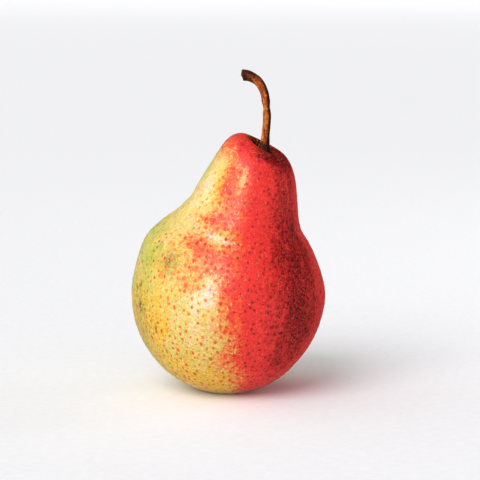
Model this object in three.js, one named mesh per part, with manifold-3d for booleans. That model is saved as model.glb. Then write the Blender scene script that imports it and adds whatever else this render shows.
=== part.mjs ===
// A ripe pear that stands upright: the fruit, the stem in its cavity and the dried calyx in its basin.
//
// Millimetres, +Z up.  The origin is in the middle of the flat ring that the fruit rests on.
// Every piece starts as a LatheGeometry round the Z axis and is then bent onto a curved axis.
//
//   fruit   one closed body: a round belly, a neck that leans to +X, a hump beside the stem
//   stem    one woody body that stands in a plain socket in the stem cavity
//   calyx   five dried sepals and their cup in one body, set into the basin under the fruit

import * as THREE from 'three';
import { mergeVertices } from 'three/addons/utils/BufferGeometryUtils.js';
import Module from 'manifold-3d';

// ---------------------------------------------------------------------------------------------
// Driving dimensions
// ---------------------------------------------------------------------------------------------

// The fruit's outline, as if its axis were straight.  A slope is the outline's direction in
// degrees, 90 being straight up; a pull is the length of the curve's handle on that side.
const basin = { radius: 7.2, depth: 5.5, roof: 4, wall: 2.2 };
const belly = { radius: 36, height: 37, drop: 38.2, pullUp: 6 };
const waist = { radius: 25.2, height: 62.7, slope: 133.5, pullDown: 9.6, pullUp: 5.8 };
const shoulder = { radius: 15.1, height: 86, slope: 124, pullDown: 8, pullUp: 7.8 };
const crown = { height: 92, flat: 7.5 };

// The axis stands straight up to `straightTo`, then leans to +X and a little to -Y.
const lean = { straightTo: 27, fullAt: 92, right: 12, front: 4.5, power: 2 };

// Where the fruit is fuller or leaner than a turned shape.  Azimuth 0 is +X and 90 is +Y.
const swellings = [
  { name: 'hump beside the stem', azimuth: 180, across: 70, height: 97, along: 7.2, proud: 4.7 },
  { name: 'hollow neck', azimuth: 180, across: 60, height: 76, along: 18, proud: -2.8 },
  { name: 'crease under the neck', azimuth: 180, across: 35, height: 69.5, along: 2.4, proud: -0.5 },
  { name: 'full cheek', azimuth: 180, across: 70, height: 52.5, along: 6.5, proud: 1.3 },
  { name: 'full base', azimuth: 190, across: 75, height: 9, along: 8, proud: 0.3 },
  { name: 'flatter back', azimuth: 75, across: 50, height: 44, along: 20, proud: -0.7 },
];
const lobes = { count: 5, turn: 20, height: 10, along: 8, proud: 0.35 };   // low ribs over the basin
const reliefFullFrom = 12;          // height over the resting ring where the relief is at full size

// The stem's middle line, from the bottom of its socket to its cut end.
const stemLine = [
  [13.3, -5.4, 84.8],
  [13.6, -5.4, 90.6],
  [13.9, -5.3, 96.6],
  [14.3, -5.1, 102.2],
  [13.95, -4.8, 107.4],
  [13.0, -4.5, 111.8],
  [10.95, -4.2, 115.4],
  [7.7, -4.0, 117.1],
  [5.0, -3.8, 117.4],
];
// The stem's radius at shares of its length: a thicker foot, a waist past the middle, a flared scar.
const stemRadii = [
  [0, 1.6],
  [0.14, 1.65],
  [0.3, 1.42],
  [0.4, 1.45],
  [0.49, 1.43],
  [0.555, 1.22],
  [0.62, 1.5],
  [0.74, 1.52],
  [0.84, 1.62],
  [0.9, 1.76],
  [0.96, 1.97],
  [1, 1.98],
];
const stemRim = 0.25;               // bevel of the stem's two end rims

// The cavity is pressed in along the stem's foot.  `top` and `bottom` are distances under the foot's
// second point between which the pressing fades out, so that it stays on the crown.
const stemCavity = { reach: 4.6, depth: 2.4, top: 5, bottom: 12 };

// Sockets clear their pieces by this much all round.
const socketGap = 0.3;
const stemSocketShare = 0.3;        // the socket's cutter follows the stem for this share of it

// The calyx: a shallow cup on a short foot, with five sepals that spread under it.
const calyxFoot = { radius: 1.5, top: 8 };
const calyxCup = { radius: 2.4, lip: 3.3, hollow: 0.7, shoulder: 1.1 };
const sepals = { count: 5, turn: 12, halfWidth: 1.35, halfThick: 0.4, baseBow: 2.2, tipBow: 1.5 };
const sepalLine = [[1.4, 4.0], [2.7, 3.4], [3.6, 2.3], [4.4, 0.9]];   // [radius, height] down its rib

// How finely the solids are divided.
const fruitSides = 54;
const fruitSteps = { basin: 6, ring: 1, underside: 20, flank: 11, neck: 11, crown: 9 };
const stemSides = 14;
const stemSteps = 34;
const calyxSides = 20;
const sepalSides = 10;
const sepalSteps = 7;

const finishes = {
  skin: { color: 0xd9583a, roughness: 0.45, metalness: 0 },
  stemWood: { color: 0x7a4a22, roughness: 0.8, metalness: 0 },
  driedSepal: { color: 0x4a3423, roughness: 0.9, metalness: 0 },
};

// ---------------------------------------------------------------------------------------------
// Helpers
// ---------------------------------------------------------------------------------------------

const wasm = await Module();
wasm.setup();

const { degToRad, smoothstep, clamp } = THREE.MathUtils;

// The point a `distance` from `from`, at an angle in degrees.
function away(from, angle, distance) {
  const direction = new THREE.Vector2(Math.cos(degToRad(angle)), Math.sin(degToRad(angle)));
  return direction.multiplyScalar(distance).add(from);
}

// Joins curves into one outline, each cut into its own number of steps.
function outline(parts) {
  const points = [];
  for (const [curve, steps] of parts) {
    const next = curve.getPoints(steps);
    points.push(...(points.length ? next.slice(1) : next));
  }
  return points;
}

// A lathe turned round Z from [radius, height] points; its two ends are put exactly on the axis.
function turned(points, sides) {
  points[0].x = 0;
  points[points.length - 1].x = 0;
  return new THREE.LatheGeometry(points, sides).rotateX(Math.PI / 2);
}

// Moves every vertex: `change` edits the point in place and may read the surface normal.
function reshape(geometry, change) {
  const { position, normal } = geometry.attributes;
  const point = new THREE.Vector3();
  const outward = new THREE.Vector3();
  for (let i = 0; i < position.count; i++) {
    point.fromBufferAttribute(position, i);
    outward.fromBufferAttribute(normal, i);
    change(point, outward);
    position.setXYZ(i, point.x, point.y, point.z);
  }
  return geometry;
}

// Carries a shape from the Z axis onto a curved one.  `frameAt(height)` gives the axis point and
// the axis direction there.  Sections stay square to the axis, with `reference` as their first side.
function bend(geometry, frameAt, reference) {
  return reshape(geometry, (point) => {
    const { centre, tangent } = frameAt(point.z);
    const across = reference.clone().addScaledVector(tangent, -reference.dot(tangent)).normalize();
    const side = tangent.clone().cross(across);
    const { x, y } = point;
    point.copy(centre).addScaledVector(across, x).addScaledVector(side, y);
  });
}

// The closed solid of a geometry: shared vertices are merged and empty triangles left out.
function solid(geometry) {
  const bare = geometry.clone();
  bare.deleteAttribute('normal');
  bare.deleteAttribute('uv');
  const merged = mergeVertices(bare, 1e-4);
  const corners = merged.index.array;
  const kept = [];
  for (let i = 0; i < corners.length; i += 3) {
    const [a, b, c] = corners.slice(i, i + 3);
    if (a !== b && b !== c && c !== a) {
      kept.push(a, b, c);
    }
  }
  return new wasm.Manifold(new wasm.Mesh({
    numProp: 3,
    vertProperties: merged.attributes.position.array,
    triVerts: new Uint32Array(kept),
  }));
}

// A named mesh of a solid, in its own material.
function piece(name, body, finish) {
  const { vertProperties, triVerts } = body.getMesh();
  const geometry = new THREE.BufferGeometry();
  geometry.setAttribute('position', new THREE.BufferAttribute(new Float32Array(vertProperties), 3));
  geometry.setIndex(new THREE.BufferAttribute(new Uint32Array(triVerts), 1));
  geometry.computeVertexNormals();
  const mesh = new THREE.Mesh(geometry, new THREE.MeshStandardMaterial(finish));
  mesh.name = name;
  return mesh;
}

// ---------------------------------------------------------------------------------------------
// Fruit
// ---------------------------------------------------------------------------------------------

// From the roof of the basin, over the resting ring and up the side, to the middle of the crown.
function fruitOutline() {
  const floorAngle = Math.asin(-belly.height / belly.drop);
  const underside = new THREE.EllipseCurve(0, belly.height, belly.radius, belly.drop, floorAngle, 0);
  const roof = new THREE.Vector2(0, basin.depth);
  const ringInner = new THREE.Vector2(basin.radius, 0);
  const ringOuter = underside.getPoint(0);
  const side = new THREE.Vector2(belly.radius, belly.height);
  const neck = new THREE.Vector2(waist.radius, waist.height);
  const top = new THREE.Vector2(shoulder.radius, shoulder.height);
  const pole = new THREE.Vector2(0, crown.height);

  const basinWall = new THREE.CubicBezierCurve(
    roof,
    away(roof, 0, basin.roof),
    away(ringInner, 180, basin.wall),
    ringInner,
  );
  const flank = new THREE.CubicBezierCurve(
    side,
    away(side, 90, belly.pullUp),
    away(neck, waist.slope, -waist.pullDown),
    neck,
  );
  const neckSide = new THREE.CubicBezierCurve(
    neck,
    away(neck, waist.slope, waist.pullUp),
    away(top, shoulder.slope, -shoulder.pullDown),
    top,
  );
  const crownDome = new THREE.CubicBezierCurve(
    top,
    away(top, shoulder.slope, shoulder.pullUp),
    away(pole, 0, crown.flat),
    pole,
  );
  return outline([
    [basinWall, fruitSteps.basin],
    [new THREE.LineCurve(ringInner, ringOuter), fruitSteps.ring],
    [underside, fruitSteps.underside],
    [flank, fruitSteps.flank],
    [neckSide, fruitSteps.neck],
    [crownDome, fruitSteps.crown],
  ]);
}

function fruitAxis(height) {
  const span = lean.fullAt - lean.straightTo;
  const share = Math.max(0, (height - lean.straightTo) / span);
  const moved = share ** lean.power;
  const rate = lean.power * share ** (lean.power - 1) / span;
  return {
    centre: new THREE.Vector3(lean.right * moved, -lean.front * moved, height),
    tangent: new THREE.Vector3(lean.right * rate, -lean.front * rate, 1).normalize(),
  };
}

// How far the surface stands proud of the turned shape at an azimuth and a height.
function relief(azimuth, height) {
  const lobeRise = (height - lobes.height) / lobes.along;
  const lobeTurn = lobes.count * (azimuth - degToRad(lobes.turn));
  let proud = lobes.proud * Math.cos(lobeTurn) * Math.exp(-(lobeRise ** 2));
  for (const swelling of swellings) {
    const turn = Math.acos(Math.cos(azimuth - degToRad(swelling.azimuth)));
    const across = turn / degToRad(swelling.across);
    const along = (height - swelling.height) / swelling.along;
    proud += swelling.proud * Math.exp(-(across ** 2) - along ** 2);
  }
  return proud;
}

function fruitSolid() {
  const geometry = turned(fruitOutline(), fruitSides);
  reshape(geometry, (point, outward) => {
    const radius = Math.hypot(point.x, point.y);
    const inBasin = radius <= basin.radius && point.z <= basin.depth;
    if (!inBasin) {
      const calm = smoothstep(radius, 0, crown.flat) * smoothstep(point.z, 0, reliefFullFrom);
      point.addScaledVector(outward, calm * relief(Math.atan2(point.y, point.x), point.z));
    }
  });
  bend(geometry, fruitAxis, new THREE.Vector3(1, 0, 0));

  const foot = new THREE.Vector3(...stemLine[1]);
  const down = new THREE.Vector3(...stemLine[0]).sub(foot).normalize();
  reshape(geometry, (point) => {
    const offset = point.clone().sub(foot);
    const beside = offset.addScaledVector(down, -offset.dot(down)).length() / stemCavity.reach;
    const onCrown = smoothstep(point.z, foot.z - stemCavity.bottom, foot.z - stemCavity.top);
    point.addScaledVector(down, stemCavity.depth * onCrown * Math.exp(-(beside ** 2)));
  });
  return solid(geometry);
}

// ---------------------------------------------------------------------------------------------
// Stem
// ---------------------------------------------------------------------------------------------

const stemCurve = new THREE.CatmullRomCurve3(stemLine.map((point) => new THREE.Vector3(...point)));
const stemLength = stemCurve.getLength();

// The stem's axis runs straight on past its two ends.
function stemFrame(height) {
  const share = clamp(height / stemLength, 0, 1);
  const tangent = stemCurve.getTangentAt(share);
  const centre = stemCurve.getPointAt(share).addScaledVector(tangent, height - share * stemLength);
  return { centre, tangent };
}

// A smooth run through the radii given along the stem.
const stemRadius = new THREE.CubicInterpolant(
  stemRadii.map(([share]) => share),
  stemRadii.map(([, radius]) => radius),
  1,
);

// A body of the stem's form, from its foot to a share of its length and `extra` larger all round.
function stemSolid(share, extra) {
  const along = (at) => stemRadius.evaluate(at)[0] + extra;
  const from = -extra;
  const to = stemLength * share;
  const points = [
    new THREE.Vector2(0, from),
    new THREE.Vector2(along(0) - stemRim, from),
    new THREE.Vector2(along(0), from + stemRim),
  ];
  const steps = Math.round(stemSteps * share);
  for (let i = 1; i < steps; i++) {
    const at = share * i / steps;
    points.push(new THREE.Vector2(along(at), at * stemLength));
  }
  points.push(
    new THREE.Vector2(along(share), to - stemRim),
    new THREE.Vector2(along(share) - stemRim, to),
    new THREE.Vector2(0, to),
  );
  return solid(bend(turned(points, stemSides), stemFrame, new THREE.Vector3(0, 1, 0)));
}

// ---------------------------------------------------------------------------------------------
// Calyx
// ---------------------------------------------------------------------------------------------

// The cup on its foot, with the foot `extra` larger all round.
function calyxCore(extra) {
  const { radius, lip, hollow, shoulder: flare } = calyxCup;
  const footRadius = calyxFoot.radius + extra;
  const footTop = calyxFoot.top + extra;
  const points = [
    new THREE.Vector2(0, lip + hollow),
    new THREE.Vector2(radius - hollow, lip),
    new THREE.Vector2(radius, lip),
    new THREE.Vector2(footRadius, lip + flare),
    new THREE.Vector2(footRadius, footTop),
    new THREE.Vector2(0, footTop),
  ];
  return solid(turned(points, calyxSides));
}

// One sepal in the XZ plane: a flattened spindle bent along its rib.
function sepal() {
  const rib = new THREE.SplineCurve(sepalLine.map(([radius, height]) => new THREE.Vector2(radius, height)));
  const length = rib.getLength();
  const edge = new THREE.CubicBezierCurve(
    new THREE.Vector2(0, 0),
    new THREE.Vector2(sepals.baseBow, 0),
    new THREE.Vector2(sepals.tipBow, length),
    new THREE.Vector2(0, length),
  );
  const blade = turned(edge.getPoints(sepalSteps), sepalSides);
  blade.scale(sepals.halfThick / sepals.halfWidth, 1, 1);
  const ribFrame = (height) => {
    const share = clamp(height / length, 0, 1);
    const at = rib.getPointAt(share);
    const along = rib.getTangentAt(share);
    return {
      centre: new THREE.Vector3(at.x, 0, at.y),
      tangent: new THREE.Vector3(along.x, 0, along.y),
    };
  };
  return bend(blade, ribFrame, new THREE.Vector3(0, 0, 1));
}

function calyxSolid() {
  let body = calyxCore(0);
  for (let i = 0; i < sepals.count; i++) {
    const turn = degToRad(sepals.turn + i * 360 / sepals.count);
    body = body.add(solid(sepal().rotateZ(turn)));
  }
  return body;
}

// ---------------------------------------------------------------------------------------------
// The pear
// ---------------------------------------------------------------------------------------------

const stemSocket = stemSolid(stemSocketShare, socketGap);
const calyxSocket = calyxCore(socketGap);
const fruit = fruitSolid().subtract(stemSocket).subtract(calyxSocket);

const pear = new THREE.Group();
pear.name = 'pear';
pear.add(piece('fruit', fruit, finishes.skin));
pear.add(piece('stem', stemSolid(1, 0), finishes.stemWood));
pear.add(piece('calyx', calyxSolid(), finishes.driedSepal));

export default pear;
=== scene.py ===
"""A ripe pear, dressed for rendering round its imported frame.

The fruit, the stem and the calyx of the frame are replaced by finer pieces that keep their form:

* the skin, a turned and bent surface with its relief, its basin folds and its painted pigments;
* the lenticels, about two thousand low corky dots scattered over the skin;
* the stem, a ridged woody sweep with a torn scar at its end;
* the calyx, five dried sepals round a cup with the remains of the stamens.

All sizes below are in millimetres and degrees, and are turned into metres where a mesh is made.
"""

import logging
import math
from dataclasses import dataclass, field
from enum import Enum
from typing import Any, Callable

import bpy
import numpy as np
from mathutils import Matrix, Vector


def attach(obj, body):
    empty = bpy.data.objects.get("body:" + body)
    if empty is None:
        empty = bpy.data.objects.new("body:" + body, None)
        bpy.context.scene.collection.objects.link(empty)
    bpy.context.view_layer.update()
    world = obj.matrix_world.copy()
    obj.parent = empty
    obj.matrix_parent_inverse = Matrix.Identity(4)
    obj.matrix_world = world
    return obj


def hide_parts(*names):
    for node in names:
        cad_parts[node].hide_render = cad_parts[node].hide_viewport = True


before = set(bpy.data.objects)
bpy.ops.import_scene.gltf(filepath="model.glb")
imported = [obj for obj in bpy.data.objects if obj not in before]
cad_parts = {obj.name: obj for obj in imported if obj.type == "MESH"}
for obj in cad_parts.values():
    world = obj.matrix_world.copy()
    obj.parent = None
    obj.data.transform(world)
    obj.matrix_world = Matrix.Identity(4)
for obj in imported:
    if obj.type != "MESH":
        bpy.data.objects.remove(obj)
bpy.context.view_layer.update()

LOG = logging.getLogger("pear")
MM = 0.001
ROOT = "root"
FULL_TURN = 2 * math.pi
CURVE_STEPS = 200
SPLINE_STEPS = 60
NODE_GAP = 180
# A patch's reach across, in degrees, that makes it the same all round.
ALL_ROUND = 1e6

Array = np.ndarray
Colour = tuple[float, float, float]
Faces = list[tuple[int, ...]]
Pair = tuple[float, float]
Triple = tuple[float, float, float]
Object = bpy.types.Object
Material = bpy.types.Material
Settings = dict[str, Any] | None


# --- Small helpers ---


def srgb(red: int, green: int, blue: int) -> Colour:
    """Returns the linear colour of an 8-bit display colour.

    Args:
        red: The red channel, 0 to 255.
        green: The green channel, 0 to 255.
        blue: The blue channel, 0 to 255.

    Returns:
        The colour as three linear channels from 0 to 1.
    """
    channels = []
    for value in (red, green, blue):
        share = value / 255
        channels.append(share / 12.92 if share <= 0.04045 else ((share + 0.055) / 1.055) ** 2.4)
    return channels[0], channels[1], channels[2]


def smoothstep(value: Array, low: float, high: float) -> Array:
    """Returns 0 below `low`, 1 above `high` and a smooth rise between them."""
    share = np.clip((value - low) / (high - low), 0.0, 1.0)
    return share * share * (3.0 - 2.0 * share)


def turn_between(azimuth: Array, centre: float) -> Array:
    """Returns the unsigned angle, in degrees, from azimuths in radians to a centre in degrees."""
    return np.degrees(np.arccos(np.clip(np.cos(azimuth - math.radians(centre)), -1.0, 1.0)))


def unit(vectors: Array) -> Array:
    """Returns vectors of length one in the same directions."""
    return vectors / np.linalg.norm(vectors, axis=-1, keepdims=True)


def bezier(*points: Pair) -> Array:
    """Follows a cubic Bézier curve.

    Args:
        points: Its four control points.

    Returns:
        Points along it, from its start to its end.
    """
    share = np.linspace(0.0, 1.0, CURVE_STEPS + 1)[:, None]
    start, leave, arrive, end = (np.array(point, float) for point in points)
    rest = 1.0 - share
    return rest**3 * start + 3 * rest**2 * share * leave + 3 * rest * share**2 * arrive + share**3 * end


def away(origin: Pair, angle: float, distance: float) -> Pair:
    """Returns the point at a distance from `origin`, in a direction given in degrees."""
    turn = math.radians(angle)
    return origin[0] + distance * math.cos(turn), origin[1] + distance * math.sin(turn)


def catmull_rom(points: Array, steps: int) -> Array:
    """Samples a centripetal Catmull-Rom curve through points, evenly by length.

    Args:
        points: The points that the curve passes, one row each.
        steps: The number of equal steps to cut it into.

    Returns:
        An array of `steps` + 1 points.
    """
    ends = np.vstack([2 * points[0] - points[1], points, 2 * points[-1] - points[-2]])
    share = np.linspace(0.0, 1.0, SPLINE_STEPS, endpoint=False)[:, None]
    cube, square = share**3, share**2
    dense: list[Array] = []
    for before, start, end, after in zip(ends[:-3], ends[1:-2], ends[2:-1], ends[3:]):
        steps_between = (start - before, end - start, after - end)
        first, middle, last = (np.linalg.norm(step) ** 0.5 for step in steps_between)
        along = (end - start) / middle
        leave = (start - before) / first - (end - before) / (first + middle) + along
        arrive = along - (after - start) / (middle + last) + (after - end) / last
        dense.append(
            (2 * cube - 3 * square + 1) * start
            + (cube - 2 * square + share) * leave * middle
            + (3 * square - 2 * cube) * end
            + (cube - square) * arrive * middle
        )
    return evenly(np.vstack([*dense, points[-1:]]), steps)


def evenly(line: Array, steps: int) -> Array:
    """Resamples a polyline.

    Args:
        line: Its points, one row each.
        steps: The number of equal lengths to cut it into.

    Returns:
        An array of `steps` + 1 points.
    """
    lengths = np.concatenate([[0.0], np.cumsum(np.linalg.norm(np.diff(line, axis=0), axis=1))])
    wanted = np.linspace(0.0, lengths[-1], steps + 1)
    return np.stack([np.interp(wanted, lengths, line[:, i]) for i in range(line.shape[1])], axis=1)


def turns(sides: int) -> Array:
    """Returns the angles, in radians, of the sides of a ring."""
    return np.linspace(0.0, FULL_TURN, sides, endpoint=False)


def ring(radius: Array | float, turn: Array, height: float = 0.0) -> Array:
    """Returns the points of a level ring at angles in radians."""
    return np.stack([radius * np.cos(turn), radius * np.sin(turn), 0 * turn + height], axis=1)


def waves(azimuth: Array, sets: tuple[Triple, ...]) -> Array:
    """Returns the sum of sets of waves round an axis, each given by its count, its height and its start."""
    return sum(high * np.cos(count * azimuth + start) for count, high, start in sets)


def between_rings(rings: int, sides: int, first: int = 0, level: bool = False) -> Faces:
    """Makes the four-cornered faces between rings of vertices that follow one another.

    Args:
        rings: How many rings there are.
        sides: The number of vertices in each.
        first: The number of the first ring's first vertex.
        level: True where each ring lies round the one before, on a sheet that faces up.

    Returns:
        The corners of each face.
    """
    faces: Faces = []
    for low in range(first, first + (rings - 1) * sides, sides):
        for side in range(sides):
            after = (side + 1) % sides
            quad = (low + side, low + after, low + sides + after, low + sides + side)
            faces.append((quad[0], quad[3], quad[2], quad[1]) if level else quad)
    return faces


def fan(pole: int, first: int, sides: int, under: bool = False) -> Faces:
    """Makes the triangles from a pole to a ring of vertices.

    Args:
        pole: The number of the pole's vertex.
        first: The number of the ring's first vertex.
        sides: The number of vertices in the ring.
        under: True for a fan that faces down.

    Returns:
        The corners of each face.
    """
    faces: Faces = []
    for side in range(sides):
        edge = (first + side, first + (side + 1) % sides)
        faces.append((pole, *(edge[::-1] if under else edge)))
    return faces


def new_object(name: str, data: Any) -> Object:
    """Makes an object and links it into the scene.

    Args:
        name: Its name.
        data: The mesh, curve, light or camera that it holds.

    Returns:
        The object.
    """
    obj = bpy.data.objects.new(name, data)
    bpy.context.scene.collection.objects.link(obj)
    return obj


def mesh_object(name: str, points: Array, faces: Faces) -> Object:
    """Makes a smooth mesh object.

    Args:
        name: The object's name.
        points: The vertices in millimetres.
        faces: The corners of each face.

    Returns:
        The object, at the origin, with its mesh in metres.
    """
    mesh = bpy.data.meshes.new(name)
    mesh.from_pydata((points * MM).tolist(), [], faces)
    mesh.shade_smooth()
    mesh.update()
    return new_object(name, mesh)


def store(obj: Object, name: str, values: Array) -> None:
    """Stores one number for each vertex as a named attribute."""
    attribute = obj.data.attributes.new(name, "FLOAT", "POINT")
    attribute.data.foreach_set("value", np.ascontiguousarray(values, np.float32).ravel())


def remove(*objects: Object) -> None:
    """Deletes objects that only helped to make others."""
    for obj in objects:
        bpy.data.objects.remove(obj)


# --- Node trees ---


class Signal:
    """What a node puts out: sums, products and the like add the nodes that they need."""

    def __init__(self, graph: "Graph", socket: bpy.types.NodeSocket) -> None:
        """Keeps the output and the graph that it is in."""
        self.graph = graph
        self.socket = socket

    def __add__(self, other: Any) -> "Signal":
        """Returns the sum."""
        return self.graph.math("ADD", self, other)

    def __sub__(self, other: Any) -> "Signal":
        """Returns the difference."""
        return self.graph.math("SUBTRACT", self, other)

    def __mul__(self, other: Any) -> "Signal":
        """Returns the product."""
        return self.graph.math("MULTIPLY", self, other)

    def smooth(self, low: float, high: float, start: Any = 0.0, end: Any = 1.0) -> "Signal":
        """Returns a smooth rise from `start` to `end` as this goes from `low` to `high`."""
        inputs = {"Value": self, "i1": low, "i2": high, "i3": start, "i4": end}
        return self.graph.get("ShaderNodeMapRange", {"interpolation_type": "SMOOTHSTEP"}, **inputs)

    def scaled(self, scale: Any) -> "Signal":
        """Returns this vector times a number."""
        return self.graph.scaled(self, scale)

    def into(self, other: Any, factor: Any) -> "Signal":
        """Returns this colour turned into another by a factor."""
        return self.graph.mix(factor, self, other)

    def stretched(self, factors: Triple) -> "Signal":
        """Returns this vector with each of its parts times a factor of its own."""
        return self.graph.vector("MULTIPLY", self, factors)

    def parts(self) -> list["Signal"]:
        """Returns the three parts of this vector or colour."""
        made = self.graph.node("ShaderNodeSeparateXYZ", i0=self)
        return [Signal(self.graph, socket) for socket in made.outputs]


class Graph:
    """Builds one node tree: each method adds nodes and gives back what they put out."""

    colour_mix: Settings = {"data_type": "RGBA", "clamp_factor": True}

    def __init__(self, tree: bpy.types.NodeTree) -> None:
        """Starts on an empty tree."""
        self.tree = tree
        self.column = 0

    def node(self, kind: str, settings: Settings = None, **inputs: Any) -> bpy.types.Node:
        """Adds a node.

        Args:
            kind: The node's type name.
            settings: Its properties by name.
            inputs: Its inputs, as `link` takes them.

        Returns:
            The new node.
        """
        made = self.tree.nodes.new(kind)
        made.location = (self.column * NODE_GAP, 0)
        self.column += 1
        for name, value in (settings or {}).items():
            setattr(made, name, value)
        self.link(made, **inputs)
        return made

    def link(self, node: bpy.types.Node, **inputs: Any) -> None:
        """Links or sets inputs of a node.

        Args:
            node: The node.
            inputs: Its inputs, with spaces in their names written as underscores, or `i` and a
                number for an input by its place. A signal is linked and a value is set.
        """
        for name, value in inputs.items():
            by_place = name[0] == "i" and name[1:].isdigit()
            socket = node.inputs[int(name[1:]) if by_place else name.replace("_", " ")]
            if isinstance(value, Signal):
                self.tree.links.new(value.socket, socket)
            else:
                socket.default_value = value

    def get(self, kind: str, settings: Settings = None, output: int | str = 0, **inputs: Any) -> Signal:
        """Adds a node as `node` does and returns one of its outputs, by place or name."""
        return Signal(self, self.node(kind, settings, **inputs).outputs[output])

    def outputs(self, kind: str, settings: Settings = None, **inputs: Any) -> dict[str, Signal]:
        """Adds a node as `node` does and returns its outputs by name."""
        return {socket.name: Signal(self, socket) for socket in self.node(kind, settings, **inputs).outputs}

    def math(self, operation: str, *values: Any) -> Signal:
        """Returns the result of a Math node."""
        inputs = {f"i{place}": value for place, value in enumerate(values)}
        return self.get("ShaderNodeMath", {"operation": operation}, **inputs)

    def vector(self, operation: str, *values: Any) -> Signal:
        """Returns the vector that a Vector Math node puts out."""
        inputs = {f"i{place}": value for place, value in enumerate(values)}
        return self.get("ShaderNodeVectorMath", {"operation": operation}, **inputs)

    def scaled(self, vector: Any, scale: Any) -> Signal:
        """Returns a vector times a number."""
        return self.get("ShaderNodeVectorMath", {"operation": "SCALE"}, i0=vector, Scale=scale)

    def noise(
        self, vector: Signal, size: float, detail: float = 2.0, rough: float = 0.5, output: str = "Fac"
    ) -> Signal:
        """Returns noise from 0 to 1 whose lumps are about `size` millimetres across."""
        inputs = {"Vector": vector, "Scale": 1.0 / (size * MM), "Detail": detail, "Roughness": rough}
        return self.get("ShaderNodeTexNoise", None, output, **inputs)

    def noises(self, vector: Signal, size: float, detail: float = 2.0, rough: float = 0.5) -> list[Signal]:
        """Returns three unlike noises, each from about -0.5 to 0.5, of one lump size."""
        colour = self.noise(vector, size, detail, rough, "Color")
        return self.vector("SUBTRACT", colour, (0.5, 0.5, 0.5)).scaled(2.5).parts()

    def flecks(self, vector: Signal, spacing: float, radius: float, share: float) -> Signal:
        """Returns 1 in soft flecks and 0 between them.

        Args:
            vector: Where the flecks are looked up.
            spacing: The size of the cells that may hold one, in millimetres.
            radius: The radius of a fleck, in millimetres.
            share: The share of the cells that hold one.

        Returns:
            The strength of the flecks.
        """
        cell = self.outputs("ShaderNodeTexVoronoi", Vector=vector, Scale=1.0 / (spacing * MM))
        chance = cell["Color"].parts()[0]
        ragged = self.noise(vector, 0.4 * spacing, 1.0) - 0.5
        distance = ragged * 0.7 + cell["Distance"]
        inside = distance.smooth(1.2 * radius / spacing, 0.5 * radius / spacing)
        return inside * chance.smooth(share, share - 0.15)

    def grain(self, turn: Signal, along: Signal) -> Signal:
        """Returns a place that follows a rod: round it by an angle in radians, and along it."""
        across, back = self.math("COSINE", turn), self.math("SINE", turn)
        return self.get("ShaderNodeCombineXYZ", X=across, Y=back, Z=along)

    def mix(self, factor: Any, first: Any, second: Any) -> Signal:
        """Returns a mix of two colours, each a signal or three numbers."""
        pair = [(*colour, 1.0) if isinstance(colour, tuple) else colour for colour in (first, second)]
        return self.get("ShaderNodeMix", self.colour_mix, 2, i0=factor, i6=pair[0], i7=pair[1])

    def attribute(self, name: str) -> Signal:
        """Returns a number stored on the mesh."""
        return self.get("ShaderNodeAttribute", {"attribute_name": name}, "Fac")

    def position(self) -> Signal:
        """Returns the Object coordinates of the surface."""
        return self.get("ShaderNodeTexCoord", None, "Object")

    def bump(self, height: Signal, distance: float, **under: Signal) -> Signal:
        """Returns a normal tilted by a height, of `distance` millimetres from 0 to 1."""
        return self.get("ShaderNodeBump", Distance=distance * MM, Height=height, **under)


class Coat(Graph):
    """A material that is being made round one Principled shader."""

    def __init__(self, name: str, **uniform: Any) -> None:
        """Starts a material.

        Args:
            name: The material's name.
            uniform: Values set on the shader's own sockets, spaces written as underscores.
        """
        self.material = bpy.data.materials.new(name)
        self.material.use_nodes = True
        self.material.node_tree.nodes.clear()
        super().__init__(self.material.node_tree)
        self.shader = self.node("ShaderNodeBsdfPrincipled", **uniform)
        self.node("ShaderNodeOutputMaterial", Surface=Signal(self, self.shader.outputs[0]))

    def paint(self, group: bpy.types.NodeTree) -> dict[str, Signal]:
        """Adds a node group and returns its outputs by name."""
        return self.outputs("ShaderNodeGroup", {"node_tree": group})

    def dressed(self, **inputs: Signal) -> Material:
        """Links inputs of the shader and returns the material."""
        self.link(self.shader, **inputs)
        return self.material


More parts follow.
